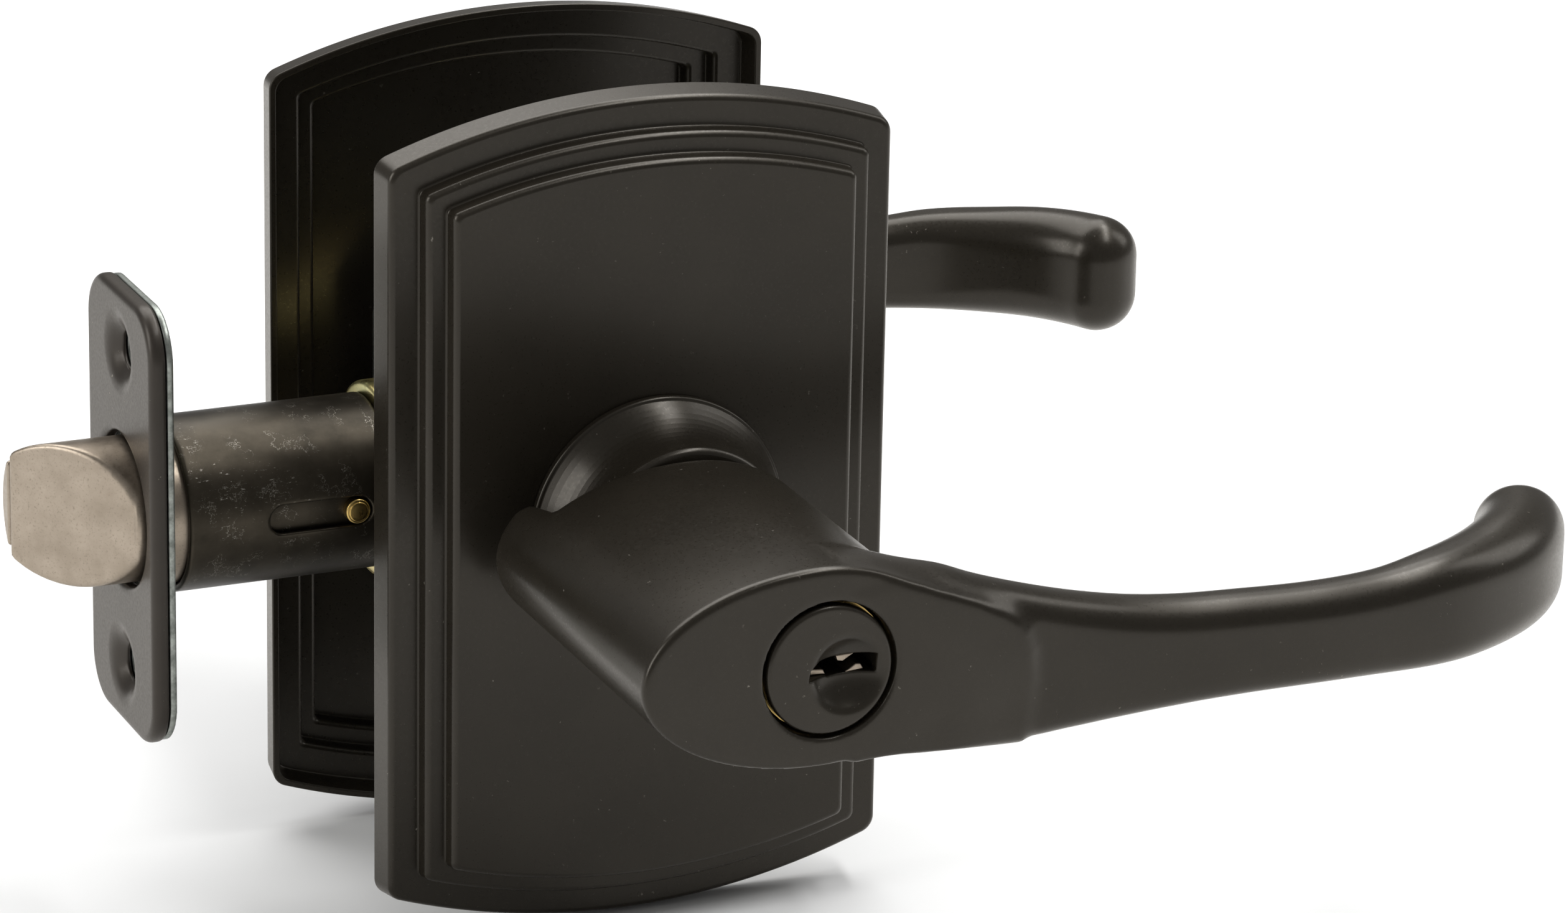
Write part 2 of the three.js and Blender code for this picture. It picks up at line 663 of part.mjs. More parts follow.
// Nickel sleeve that carries the bolt and slides in the latch tube.
function sleeve() {
  const start = -BACKSET + PLATE_THICKNESS + GAP;
  return cylinderX(SLEEVE_RADIUS, start, SLEEVE_END, 32)
    .subtract(cylinderX(SLEEVE_RADIUS - SLEEVE_WALL, start - 1, SLEEVE_END - 1.2, 32))
    .subtract(boxAt(SLEEVE_END - 2, SLEEVE_END + 1, -1.4, 1.4, -4.7, 4.7))
    .subtract(cylinderY(PIN_RADIUS + 0.1, 7, 14, 20).translate([PIN_X, 0, 0]));
}

function backsetPin() {
  return turnY([
    [0, 8.2],
    [PIN_RADIUS, 8.2],
    [PIN_RADIUS, TUBE_RADIUS + 0.2],
    [PIN_RADIUS - 0.3, TUBE_RADIUS + 0.5],
    [0, TUBE_RADIUS + 0.5],
  ], 20).translate([PIN_X, 0, 0]);
}

// Latch tube with the slot that the backset pin runs in.
function latchTube() {
  const slotEnd = PIN_X + SLOT_WIDTH / 2;
  const slot = new THREE.Shape();
  const r = SLOT_WIDTH / 2;
  slot.absarc(slotEnd - r, 0, r, -Math.PI / 2, Math.PI / 2);
  slot.absarc(SLOT_START + r, 0, r, Math.PI / 2, 1.5 * Math.PI);
  return cylinderX(TUBE_RADIUS, TUBE_START, CASE_START - GAP, 36)
    .subtract(cylinderX(TUBE_RADIUS - TUBE_WALL, TUBE_START - 1, CASE_START + 1, 36))
    .subtract(extrudeY(slot, 5, 15, 0, 8));
}

// Nearly round yellow-zinc case about the retractor and the cam hub, open at the rear.
function retractorCase() {
  const width = 2 * (CASE_HALF_WIDTH - CASE_WALL);
  const height = 2 * (CASE_HALF_HEIGHT - CASE_WALL);
  const outer = roundedRectangle(2 * CASE_HALF_WIDTH, 2 * CASE_HALF_HEIGHT, CASE_CORNER);
  const inner = roundedRectangle(width, height, CASE_CORNER - CASE_WALL);
  return extrudeX(outer, CASE_START, CASE_END)
    .subtract(extrudeX(inner, CASE_START + CASE_WALL, CASE_END + 1))
    .subtract(cylinderX(TUBE_RADIUS - TUBE_WALL, CASE_START - 1, CASE_START + 2, 28))
    .subtract(cylinderY(KEY_RADIUS + 0.5, -20, 20, 28));
}

// Cam hub with two pairs of lobes that push the retractor's posts.
function camHub() {
  const flat = KEY_FLAT + GAP;
  const hole = cylinderY(KEY_RADIUS + GAP, -12, 12, 24).intersect(
    boxAt(-7, 7, -12, 12, -flat, flat),
  );
  let made = cylinderY(CAM_RADIUS, -CAM_HALF_LENGTH, CAM_HALF_LENGTH, 28);
  for (const side of [-1, 1]) {
    const y = side * LOBE_PLACE;
    made = made.add(boxAt(-1.3, 1.3, y - 1.2, y + 1.2, -LOBE_REACH, LOBE_REACH));
  }
  return made.subtract(hole);
}

// Retractor: two rails round the cam hub, joined by a bar at each end, with posts for the lobes.
function retractor() {
  const front = boxAt(RETRACTOR_START, RETRACTOR_START + 1.8, -4.6, 4.6, -10, 10);
  const rear = boxAt(RETRACTOR_END - 1.8, RETRACTOR_END, -4.6, 4.6, -10, 10);
  const window = boxAt(RETRACTOR_START - 1, RETRACTOR_START + 3, -1.4, 1.4, -4.7, 4.7);
  let made = front.subtract(window).add(rear);
  const w = RAIL_HALF_WIDTH;
  made = made
    .add(boxAt(RETRACTOR_START, RETRACTOR_END, -w, w, RAIL_INNER, RAIL_OUTER))
    .add(boxAt(RETRACTOR_START, RETRACTOR_END, -w, w, -RAIL_OUTER, -RAIL_INNER))
    .add(boxAt(2, 3.6, -5, 5, RAIL_INNER, RAIL_INNER + 0.9))
    .add(boxAt(2, 3.6, -5, 5, -RAIL_INNER - 0.9, -RAIL_INNER));
  return made;
}

// Bolt: a round bar with one flat side, cut to a slope toward the outside, and its flat tail.
function bolt() {
  const tip = -BACKSET - THROW;
  const slope = new THREE.Shape();
  slope.moveTo(tip - 2, 5.4);
  slope.lineTo(tip + 0.6, 5.4);
  slope.lineTo(-BACKSET - 0.9, -8.3);
  slope.lineTo(-BACKSET - 0.9, -12);
  slope.lineTo(tip - 2, -12);
  const cut = new THREE.ExtrudeGeometry(slope, { depth: 30, bevelEnabled: false });
  cut.translate(0, 0, -15);
  return cylinderX(BOLT_RADIUS, tip, BOLT_REAR, 48)
    .intersect(boxAt(tip - 1, BOLT_REAR + 1, -12, BOLT_FLAT, -12, 12))
    .subtract(solid(cut))
    .add(boxAt(BOLT_REAR - 1, TAIL_END, -0.8, 0.8, -4, 4));
}

// Deadlatch plunger: the segment of the round bar that the bolt's flat side leaves free.
function deadlatchPlunger() {
  const tip = -BACKSET - THROW + 0.2;
  return cylinderX(BOLT_RADIUS, tip, PLUNGER_REAR, 48).intersect(
    boxAt(tip - 1, 0, BOLT_FLAT + GAP, 12, -5.6, 5.6),
  );
}

function springX(radius, wire, x0, x1, turns) {
  const pitch = (x1 - x0 - 2 * wire) / turns;
  const g = coil(radius, wire, pitch, turns, 10);
  g.rotateY(Math.PI / 2);
  g.translate(x0 + wire, 0, 0);
  return solid(g);
}

// ---- Assembly ----
const lockset = new THREE.Group();

const outside = new THREE.Group();
outside.position.y = -FACE;
outside.add(
  piece("outer_rose", rose(), black()),
  piece("outer_neck", neck(), black()),
  piece("outer_mounting_plate", outerPlate(), zinc()),
  piece("outer_return_spring", returnSpring(), springSteel()),
  piece("outer_spindle", spindle(), zinc()),
  piece("outer_lever_catch", leverCatch(), springSteel()),
  piece("outer_lever", outerLever(), black()),
  piece("cylinder_housing", cylinderHousing(), brass()),
  piece("cylinder_plug", cylinderPlug(), black()),
  piece("plug_clip", plugClip(), springSteel()),
  piece("tailpiece", tailpiece(), nickel()),
);

const inside = new THREE.Group();
inside.position.y = FACE;
inside.scale.y = -1;
inside.add(
  piece("inner_rose", rose(), black()),
  piece("inner_neck", neck(), black()),
  piece("inner_mounting_plate", plateBlank(POST_BORE + 0.3), zinc()),
  piece("inner_return_spring", returnSpring(), springSteel()),
  piece("inner_spindle", spindle(), zinc()),
  piece("inner_lever_catch", leverCatch(), springSteel()),
  piece("inner_lever", innerLever(), black()),
  piece("turn_button", turnButton(), black()),
  piece("lock_shaft", lockShaft(), nickel()),
);
for (const [name, z] of [
  ["upper_mounting_screw", SCREW_HEIGHT],
  ["lower_mounting_screw", -SCREW_HEIGHT],
]) {
  const screw = piece(name, mountingScrew(), zinc());
  screw.position.z = z;
  inside.add(screw);
}

const latch = new THREE.Group();
latch.add(
  piece("latch_faceplate", faceplate(), black()),
  piece("latch_back_plate", backPlate(), zinc()),
  piece("latch_sleeve", sleeve(), nickel()),
  piece("backset_pin", backsetPin(), brass()),
  piece("latch_tube", latchTube(), darkSteel()),
  piece("retractor_case", retractorCase(), yellowZinc()),
  piece("cam_hub", camHub(), zinc()),
  piece("retractor", retractor(), zinc()),
  piece("bolt", bolt(), nickel()),
  piece("deadlatch_plunger", deadlatchPlunger(), nickel()),
  piece("bolt_spring", springX(5.6, 0.45, BOLT_REAR + GAP, SLEEVE_END - 1.5, 5), springSteel()),
);

lockset.add(outside, inside, latch);
export default lockset;
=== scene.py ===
import json
import math

import bpy
import numpy as np
from mathutils import Matrix, Vector


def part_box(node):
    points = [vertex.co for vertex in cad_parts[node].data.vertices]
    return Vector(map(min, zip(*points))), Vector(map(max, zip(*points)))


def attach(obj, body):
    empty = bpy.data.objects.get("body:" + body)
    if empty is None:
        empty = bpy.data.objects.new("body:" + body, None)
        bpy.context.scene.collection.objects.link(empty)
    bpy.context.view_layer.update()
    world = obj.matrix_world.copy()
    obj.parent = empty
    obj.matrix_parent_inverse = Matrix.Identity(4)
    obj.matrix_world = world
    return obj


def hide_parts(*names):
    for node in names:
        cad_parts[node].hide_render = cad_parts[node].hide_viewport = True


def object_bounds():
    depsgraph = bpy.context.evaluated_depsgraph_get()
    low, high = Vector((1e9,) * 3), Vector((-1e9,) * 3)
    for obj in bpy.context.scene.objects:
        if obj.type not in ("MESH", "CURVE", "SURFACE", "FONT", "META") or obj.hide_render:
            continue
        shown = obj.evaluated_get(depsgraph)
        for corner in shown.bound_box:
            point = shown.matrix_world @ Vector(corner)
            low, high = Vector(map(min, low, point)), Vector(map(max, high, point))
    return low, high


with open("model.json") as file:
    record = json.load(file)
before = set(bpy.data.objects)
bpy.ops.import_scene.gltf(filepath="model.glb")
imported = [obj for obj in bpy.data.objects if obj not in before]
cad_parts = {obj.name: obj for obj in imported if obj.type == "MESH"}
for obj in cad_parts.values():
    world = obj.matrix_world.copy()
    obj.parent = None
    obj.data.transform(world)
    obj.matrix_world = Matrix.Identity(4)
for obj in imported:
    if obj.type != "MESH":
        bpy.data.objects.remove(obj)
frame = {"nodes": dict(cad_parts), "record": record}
cad_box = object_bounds()
MM = 0.001


def span(node):
    """Lowest and highest corners of a CAD node, in millimetres."""
    low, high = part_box(node)
    return np.array(low) / MM, np.array(high) / MM


# ---- Driving dimensions, from the frame ----
ROSE_LOW, ROSE_HIGH = span("outer_rose")
NECK_LOW, NECK_HIGH = span("outer_neck")
LEVER_LOW, LEVER_HIGH = span("outer_lever")
INNER_LOW = span("inner_lever")[0]
FACE = -ROSE_HIGH[1]  # distance of each door face from the spindle axis's middle
HUB_FRONT = -LEVER_LOW[1] - FACE  # heights are measured from the door face
HUB_REAR = INNER_LOW[1] - FACE
HEEL_REAR = -LEVER_HIGH[1] - FACE
OUTER_NOSE = -LEVER_LOW[0]
INNER_NOSE = -INNER_LOW[0]
LEVER_END = LEVER_HIGH[0]
ROSE_HEIGHT = -ROSE_LOW[1] - FACE
NECK_TOP = -NECK_LOW[1] - FACE
NECK_BASE_RADIUS = NECK_HIGH[0]
SPINDLE_RADIUS = 7.5
KEY_RADIUS = 5.6  # the spindle's key, which fills the cam hub
KEY_FLAT = 4.6


# ---- Camera ----
CAMERA_AZIMUTH = math.radians(-23.725)
CAMERA_ELEVATION = math.radians(19.286)
CAMERA_ROLL = math.radians(1.142)
CAMERA_PLACE = (-0.3016, -0.7502, 0.2832)
CAMERA_LENS = 153.92
CAMERA_SHIFT = (0.00734, -0.00139)


def add_camera():
    azimuth, elevation = CAMERA_AZIMUTH, CAMERA_ELEVATION
    forward = Vector((
        -math.sin(azimuth) * math.cos(elevation),
        math.cos(azimuth) * math.cos(elevation),
        -math.sin(elevation),
    ))
    level = Vector((math.cos(azimuth), math.sin(azimuth), 0))
    up = level.cross(forward)
    right = math.cos(CAMERA_ROLL) * level + math.sin(CAMERA_ROLL) * up
    up = right.cross(forward)
    data = bpy.data.cameras.new("camera")
    data.lens = CAMERA_LENS
    data.sensor_width = 36
    data.shift_x, data.shift_y = CAMERA_SHIFT
    data.clip_start = 0.01
    data.clip_end = 20
    camera = bpy.data.objects.new("camera", data)
    turn = Matrix((right, up, -forward)).transposed()
    camera.matrix_world = Matrix.Translation(CAMERA_PLACE) @ turn.to_4x4()
    bpy.context.scene.collection.objects.link(camera)
    bpy.context.scene.camera = camera


# ---- Materials ----
class Shader:
    """A Principled material whose detail comes from procedural nodes in object coordinates."""

    def __init__(self, name, **sockets):
        self.material = bpy.data.materials.new(name)
        self.material.use_nodes = True
        self.tree = self.material.node_tree
        self.surface = self.tree.nodes["Principled BSDF"]
        self.place = self.tree.nodes.new("ShaderNodeTexCoord").outputs["Object"]
        for key, value in sockets.items():
            self.surface.inputs[key.replace("_", " ")].default_value = value

    def link(self, source, socket):
        self.tree.links.new(source, self.surface.inputs[socket])

    def node(self, kind, inputs=(), **settings):
        made = self.tree.nodes.new(kind)
        for key, value in settings.items():
            setattr(made, key, value)
        for key, value in dict(inputs).items():
            if isinstance(value, bpy.types.NodeSocket):
                self.tree.links.new(value, made.inputs[key])
            else:
                made.inputs[key].default_value = value
        return made

    def stretched(self, scale):
        """Object coordinates stretched by a scale for each axis."""
        inputs = {"Vector": self.place, "Scale": scale}
        return self.node("ShaderNodeMapping", inputs).outputs["Vector"]

    def noise(self, scale, detail=3, rough=0.55, place=None):
        inputs = {"Vector": place or self.place, "Scale": scale, "Detail": detail, "Roughness": rough}
        return self.node("ShaderNodeTexNoise", inputs).outputs["Fac"]

    def window(self, value, low, high, start=0.0, end=1.0):
        """value from low to high, as start to end, and held there outside."""
        inputs = {"Value": value, "From Min": low, "From Max": high, "To Min": start, "To Max": end}
        return self.node("ShaderNodeMapRange", inputs).outputs["Result"]

    def mix(self, amount, first, second):
        made = self.tree.nodes.new("ShaderNodeMix")
        made.data_type = "RGBA"
        for index, value in ((0, amount), (6, first), (7, second)):
            if isinstance(value, bpy.types.NodeSocket):
                self.tree.links.new(value, made.inputs[index])
            else:
                made.inputs[index].default_value = value if index == 0 else (*value, 1)
        return made.outputs[2]

    def maths(self, operation, first, second):
        return self.node("ShaderNodeMath", {0: first, 1: second}, operation=operation).outputs[0]

    def bump(self, height, strength, distance):
        inputs = {"Height": height, "Strength": strength, "Distance": distance}
        self.link(self.node("ShaderNodeBump", inputs).outputs["Normal"], "Normal")


def worn_specks(shader, scale, least, most):
    """Scattered small marks: 1 on a mark, 0 off it."""
    fine = shader.noise(scale, 4, 0.7)
    patch = shader.noise(scale / 9, 2, 0.5)
    mark = shader.window(fine, least, most)
    return shader.maths("MULTIPLY", mark, shader.window(patch, 0.45, 0.6))


def bronze(name, dark, light, roughness):
    """Satin dark bronze plating under lacquer, with dust and handling marks."""
    made = Shader(name, Metallic=0.25, Specular_IOR_Level=0.4, Coat_Weight=0.12, Coat_Roughness=0.2,
                  Specular_Tint=(1.0, 0.93, 0.82, 1), Coat_Tint=(1.0, 0.95, 0.88, 1))
    cloud = made.noise(55, 4, 0.6)
    base = made.mix(made.window(cloud, 0.35, 0.65), dark, light)
    specks = worn_specks(made, 1300, 0.68, 0.72)
    made.link(made.mix(made.maths("MULTIPLY", specks, 0.8), base, (0.24, 0.22, 0.19)), "Base Color")
    grain = made.noise(2600, 3, 0.6)
    made.link(made.window(grain, 0.3, 0.7, roughness - 0.05, roughness + 0.05), "Roughness")
    made.bump(made.noise(1500, 3, 0.6), 0.08, 0.00005)
    return made.material


def tumbled_nickel(name, dark, light, roughness):
    """Warm satin nickel with the speckle of tumbled castings."""
    made = Shader(name, Metallic=1.0, Specular_IOR_Level=0.5)
    cloud = made.mix(made.window(made.noise(260, 4, 0.6), 0.3, 0.7), dark, light)
    pits = made.window(made.noise(3600, 3, 0.65), 0.30, 0.44)
    shade = tuple(0.84 * c for c in dark)
    made.link(made.mix(pits, shade, cloud), "Base Color")
    made.link(made.window(made.noise(1500, 3), 0.3, 0.7, roughness - 0.05, roughness + 0.07), "Roughness")
    made.bump(made.noise(2300, 4, 0.65), 0.18, 0.00006)
    return made.material


def scratched_steel(name, dark, light, roughness):
    """Dark plated steel with bright curling scratches and scuffed patches."""
    made = Shader(name, Metallic=0.85, Specular_IOR_Level=0.4)
    base = made.mix(made.window(made.noise(120, 5, 0.65), 0.35, 0.65), dark, light)
    # A scratch follows the line where a slow noise passes through its middle value.
    drift = made.noise(210, 6, 0.7)
    line = made.maths("ABSOLUTE", made.maths("SUBTRACT", drift, 0.5), 0)
    scratch = made.window(line, 0.0024, 0.0006)
    scratch = made.maths("MULTIPLY", scratch, made.window(made.noise(420, 3, 0.6), 0.50, 0.58))
    scuff = made.window(made.noise(2300, 5, 0.8, made.stretched((0.5, 1.3, 1.3))), 0.62, 0.69)
    scuff = made.maths("MULTIPLY", scuff, made.window(made.noise(95, 3, 0.6), 0.53, 0.64))
    marks = made.maths("MAXIMUM", scratch, scuff)
    made.link(made.mix(marks, base, (0.52, 0.49, 0.43)), "Base Color")
    made.link(made.window(marks, 0, 1, roughness, roughness - 0.06), "Roughness")
    made.bump(marks, 0.15, 0.00004)
    return made.material


def plated(name, dark, light, roughness):
    """Thin bright plating on sheet or wire, slightly mottled."""
    made = Shader(name, Metallic=1.0, Specular_IOR_Level=0.5)
    mottle = made.noise(700, 4, 0.7)
    made.link(made.mix(made.window(mottle, 0.35, 0.65), dark, light), "Base Color")
    made.link(made.window(mottle, 0.3, 0.7, roughness + 0.07, roughness - 0.05), "Roughness")
    made.bump(made.noise(1700, 3), 0.15, 0.00006)
    return made.material


def iridescent_zinc(name, gold, green, roughness):
    """Yellow passivated zinc, which shifts between gold and green."""
    made = Shader(name, Metallic=1.0, Specular_IOR_Level=0.5)
    drift = made.window(made.noise(90, 4, 0.6), 0.38, 0.62)
    made.link(made.mix(drift, gold, green), "Base Color")
    made.link(made.window(made.noise(800, 3), 0.3, 0.7, roughness - 0.05, roughness + 0.08), "Roughness")
    made.bump(made.noise(1500, 3), 0.15, 0.00006)
    return made.material


def turned_brass(name, dark, light, roughness):
    """Machined brass with fine turning rings across the spindle axis."""
    made = Shader(name, Metallic=1.0, Specular_IOR_Level=0.5)
    rings = made.noise(600, 3, 0.6, made.stretched((0.4, 9.0, 0.4)))
    made.link(made.mix(made.window(rings, 0.35, 0.65), dark, light), "Base Color")
    made.link(made.window(rings, 0.3, 0.7, roughness - 0.05, roughness + 0.08), "Roughness")
    made.bump(rings, 0.12, 0.00005)
    return made.material


# Each slot's finish, its two colours and its roughness.
FINISHES = {
    "bronze_black": (bronze, (0.0150, 0.0125, 0.0090), (0.0200, 0.0168, 0.0122), 0.31),
    "bronze_black_plate": (bronze, (0.022, 0.018, 0.015), (0.031, 0.026, 0.022), 0.42),
    "satin_nickel": (tumbled_nickel, (0.30, 0.25, 0.195), (0.385, 0.325, 0.26), 0.37),
    "dark_steel": (scratched_steel, (0.028, 0.0235, 0.0165), (0.056, 0.047, 0.034), 0.38),
    "zinc_plate": (plated, (0.17, 0.18, 0.165), (0.34, 0.36, 0.33), 0.40),
    "yellow_zinc": (iridescent_zinc, (0.60, 0.45, 0.17), (0.50, 0.49, 0.23), 0.3),
    "brass": (turned_brass, (0.50, 0.34, 0.11), (0.66, 0.47, 0.17), 0.26),
    "spring_steel": (plated, (0.28, 0.29, 0.30), (0.45, 0.46, 0.47), 0.32),
}


def material_table():
    return {name: make(name, *look) for name, (make, *look) in FINISHES.items()}


# ---- Meshes ----
def signed_volume(points, faces):
    total = 0.0
    for size in (3, 4):
        rows = np.array([f for f in faces if len(f) == size], int)
        if not len(rows):
            continue
        for k in range(1, size - 1):
            a, b, c = points[rows[:, 0]], points[rows[:, k]], points[rows[:, k + 1]]
            total += np.einsum("ij,ij->i", a, np.cross(b, c)).sum() / 6
    return total


def add_piece(name, shape, slot, body, node):
    """A finished piece from (points in mm, faces, normals), standing for a CAD node."""
    points, faces, normals = shape
    points = np.asarray(points, float)
    if signed_volume(points, faces) < 0:
        faces = [tuple(reversed(f)) for f in faces]
    mesh = bpy.data.meshes.new(name)
    mesh.from_pydata((points * MM).tolist(), [], [tuple(map(int, f)) for f in faces])
    mesh.polygons.foreach_set("use_smooth", [True] * len(mesh.polygons))
    mesh.normals_split_custom_set_from_vertices(np.asarray(normals, float).tolist())
    mesh.materials.append(MATERIALS[slot])
    piece = bpy.data.objects.new(name, mesh)
    bpy.context.scene.collection.objects.link(piece)
    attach(piece, body)
    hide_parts(node)
    return piece


def on_side(shape, side):
    """A shape drawn as (x, height over the door face, z), stood on the outside (-1) or inside (1)."""
    points, faces, normals = shape
    points = np.array(points, float)
    normals = np.array(normals, float)
    points[:, 1] = side * (FACE + points[:, 1])
    normals[:, 1] *= side
    return points, faces, normals


def fillet(corners, steps=6):
    """Points and outward normals round a closed outline of (u, v, radius) corners.

    A corner of radius 0 is a point on the axis of a solid of revolution.
    """
    points, normals = [], []
    count = len(corners)
    twice = sum(a[0] * b[1] - b[0] * a[1] for a, b in zip(corners, corners[1:] + corners[:1]))
    if twice < 0:
        corners = corners[::-1]
    for i, (u, v, radius) in enumerate(corners):
        here = np.array((u, v), float)
        before = np.array(corners[i - 1][:2], float) - here
        after = np.array(corners[(i + 1) % count][:2], float) - here
        before /= np.linalg.norm(before)
        after /= np.linalg.norm(after)
        first = np.array((-before[1], before[0]))
        last = np.array((after[1], -after[0]))
        if radius == 0:
            points.append(here)
            normals.append(last if abs(after[0]) > abs(before[0]) else first)
            continue
        turn = math.atan2(first[0] * last[1] - first[1] * last[0], float(first @ last))
        sign = 1 if turn > 0 else -1
        centre = here + before * radius * math.tan(abs(turn) / 2) - first * radius * sign
        for k in range(steps + 1):
            c, s = math.cos(turn * k / steps), math.sin(turn * k / steps)
            normal = np.array((c * first[0] - s * first[1], s * first[0] + c * first[1]))
            points.append(centre + normal * radius * sign)
            normals.append(normal)
    return np.array(points), np.array(normals)


def bridge(starts, count, closed):
    """Quads between rings of count points that begin at each start; a lone point makes triangles."""
    faces = []
    pairs = list(zip(starts, starts[1:] + starts[:1]))
    for (a, wide_a), (b, wide_b) in pairs if closed else pairs[:-1]:
        for i in range(count):
            j = (i + 1) % count
            if wide_a and wide_b:
                faces.append((a + i, a + j, b + j, b + i))
            elif wide_a:
                faces.append((a + i, a + j, b))
            elif wide_b:
                faces.append((a, b + j, b + i))
    return faces


def revolve(corners, axis="Y", segments=128, steps=5):
    """A solid of revolution from (radius, place along the axis, corner radius) corners."""
    outline, slopes = fillet(corners, steps)
    angles = np.linspace(0, 2 * math.pi, segments, endpoint=False)
    cos, sin = np.cos(angles), np.sin(angles)
    points, normals, starts = [], [], []
    for (radius, along), (out, up) in zip(outline, slopes):
        wide = radius > 1e-9
        starts.append((len(points), wide))
        for c, s in zip(cos, sin) if wide else [(0.0, 0.0)]:
            points.append((radius * c, along, radius * s))
            normals.append((out * c, up, out * s))
    faces = bridge(starts, segments, True)
    points, normals = np.array(points), np.array(normals)
    if axis == "X":
        points, normals = points[:, [1, 0, 2]], normals[:, [1, 0, 2]]
    return points, faces, normals


# ---- Solids from distance fields ----
# A field is negative inside a solid and grows by about 1 for each millimetre away from it.
def net(field, low, high, cell):
    """The surface where field(x, y, z) is 0, as quads with the field's own normals."""
    cell = cell
    axes = [np.arange(a - 1.5 * cell, b + 2.5 * cell, cell) for a, b in zip(low, high)]
    grids = np.meshgrid(*axes, indexing="ij", sparse=True)
    values = np.broadcast_to(field(*grids), [len(a) for a in axes]).astype(np.float32)
    closed = np.full_like(values, 0.5 * cell)
    closed[1:-1, 1:-1, 1:-1] = values[1:-1, 1:-1, 1:-1]
    values = closed
    cells = [n - 1 for n in values.shape]
    size = cells[0] * cells[1] * cells[2]
    total = np.zeros((size, 3))
    hits = np.zeros(size)
    crossings = []
    for axis in range(3):
        near = np.take(values, range(values.shape[axis] - 1), axis)
        far = np.take(values, range(1, values.shape[axis]), axis)
        index = np.argwhere((near < 0) != (far < 0))
        a, b = near[tuple(index.T)], far[tuple(index.T)]
        place = index.astype(float)
        place[:, axis] += a / (a - b)
        others = [k for k in range(3) if k != axis]
        around = []
        for du, dv in ((0, 0), (1, 0), (1, 1), (0, 1)):
            corner = index.copy()
            corner[:, others[0]] -= du
            corner[:, others[1]] -= dv
            flat = (corner[:, 0] * cells[1] + corner[:, 1]) * cells[2] + corner[:, 2]
            around.append(flat)
            hits += np.bincount(flat, minlength=size)
            for k in range(3):
                total[:, k] += np.bincount(flat, place[:, k], minlength=size)
        around = np.array(around).T
        flip = (a < 0) == (axis == 1)
        around[flip] = around[flip][:, ::-1]
        crossings.append(around)
    used = np.flatnonzero(hits)
    number = np.full(size, -1)
    number[used] = np.arange(len(used))
    place = total[used] / hits[used, None]
    slope = np.stack([sampled(g, place) for g in np.gradient(values)], 1)
    slope /= np.linalg.norm(slope, axis=1, keepdims=True) + 1e-12
    origin = np.array([a[0] for a in axes])
    return origin + place * cell, number[np.concatenate(crossings)], slope


def sampled(grid, place):
    """Values of a grid at fractional indices, blended from the eight corners round each."""
    base = np.floor(place).astype(int)
    part = place - base
    result = np.zeros(len(place))
    for corner in range(8):
        step = np.array([(corner >> k) & 1 for k in range(3)])
        weight = np.prod(np.where(step, part, 1 - part), axis=1)
        result += weight * grid[tuple((base + step).T)]
    return result


def rounded_meet(a, b, edge):
    """The part inside both fields, with its edge rounded."""
    a, b = a + edge, b + edge
    return np.minimum(np.maximum(a, b), 0) + np.hypot(np.maximum(a, 0), np.maximum(b, 0)) - edge


def soft_join(a, b, reach):
    """Both solids, with a fillet of about that reach where they meet."""
    h = np.clip(0.5 + 0.5 * (b - a) / reach, 0, 1)
    return b + (a - b) * h - reach * h * (1 - h)


def soft_cut(a, b, edge):
    """a without b, with the cut's edge softened."""
    return -soft_join(-a, b, edge)


def between(value, low, high):
    """Distance outside the range from low to high, negative inside it."""
    return np.abs(value - (low + high) / 2) - (high - low) / 2


def disc(u, v, radius):
    return np.hypot(u, v) - radius


def rod(u, v, along, radius, low, high, edge):
    return rounded_meet(disc(u, v, radius), between(along, low, high), edge)


def rectangle(u, v, half_u, half_v, corner):
    a, b = np.abs(u) - half_u + corner, np.abs(v) - half_v + corner
    return np.minimum(np.maximum(a, b), 0) + np.hypot(np.maximum(a, 0), np.maximum(b, 0)) - corner


def block(x, y, z, low, high, edge):
    flat = rounded_meet(between(x, low[0], high[0]), between(y, low[1], high[1]), edge)
    return rounded_meet(flat, between(z, low[2], high[2]), edge)


def polygon(u, v, corners):
    """Distance to a closed outline of straight sides, negative inside it."""
    nearest = np.full(np.broadcast(u, v).shape, 1e9)
    inside = np.zeros(nearest.shape, bool)
    for (u0, v0), (u1, v1) in zip(corners, corners[1:] + corners[:1]):
        du, dv = u1 - u0, v1 - v0
        t = np.clip(((u - u0) * du + (v - v0) * dv) / (du * du + dv * dv), 0, 1)
        nearest = np.minimum(nearest, np.hypot(u - u0 - t * du, v - v0 - t * dv))
        if v0 != v1:
            crosses = (v0 > v) != (v1 > v)
            inside ^= crosses & (u < u0 + (v - v0) * du / dv)
    return np.where(inside, -nearest, nearest)


def ease(value, low, high):
    """0 below low, 1 above high, smooth between them."""
    t = np.clip((value - low) / (high - low), 0, 1)
    return t * t * (3 - 2 * t)


def curve_points(knots, per_span=12):
    """A smooth centripetal curve through the knots."""
    knots = np.array(knots, float)
    ends = [2 * knots[0] - knots[1], *knots, 2 * knots[-1] - knots[-2]]
    made = []
    for a, b, c, d in zip(ends, ends[1:], ends[2:], ends[3:]):
        t1 = math.sqrt(np.linalg.norm(b - a))
        t2 = t1 + math.sqrt(np.linalg.norm(c - b))
        t3 = t2 + math.sqrt(np.linalg.norm(d - c))
        for t in np.linspace(t1, t2, per_span, endpoint=False):
            ab = a + (b - a) * t / t1
            bc = b + (c - b) * (t - t1) / (t2 - t1)
            cd = c + (d - c) * (t - t2) / (t3 - t2)
            abc = ab + (bc - ab) * t / t2
            bcd = bc + (cd - bc) * (t - t1) / (t3 - t1)
            made.append(abc + (bcd - abc) * (t - t1) / (t2 - t1))
    made.append(knots[-1])
    return np.array(made)


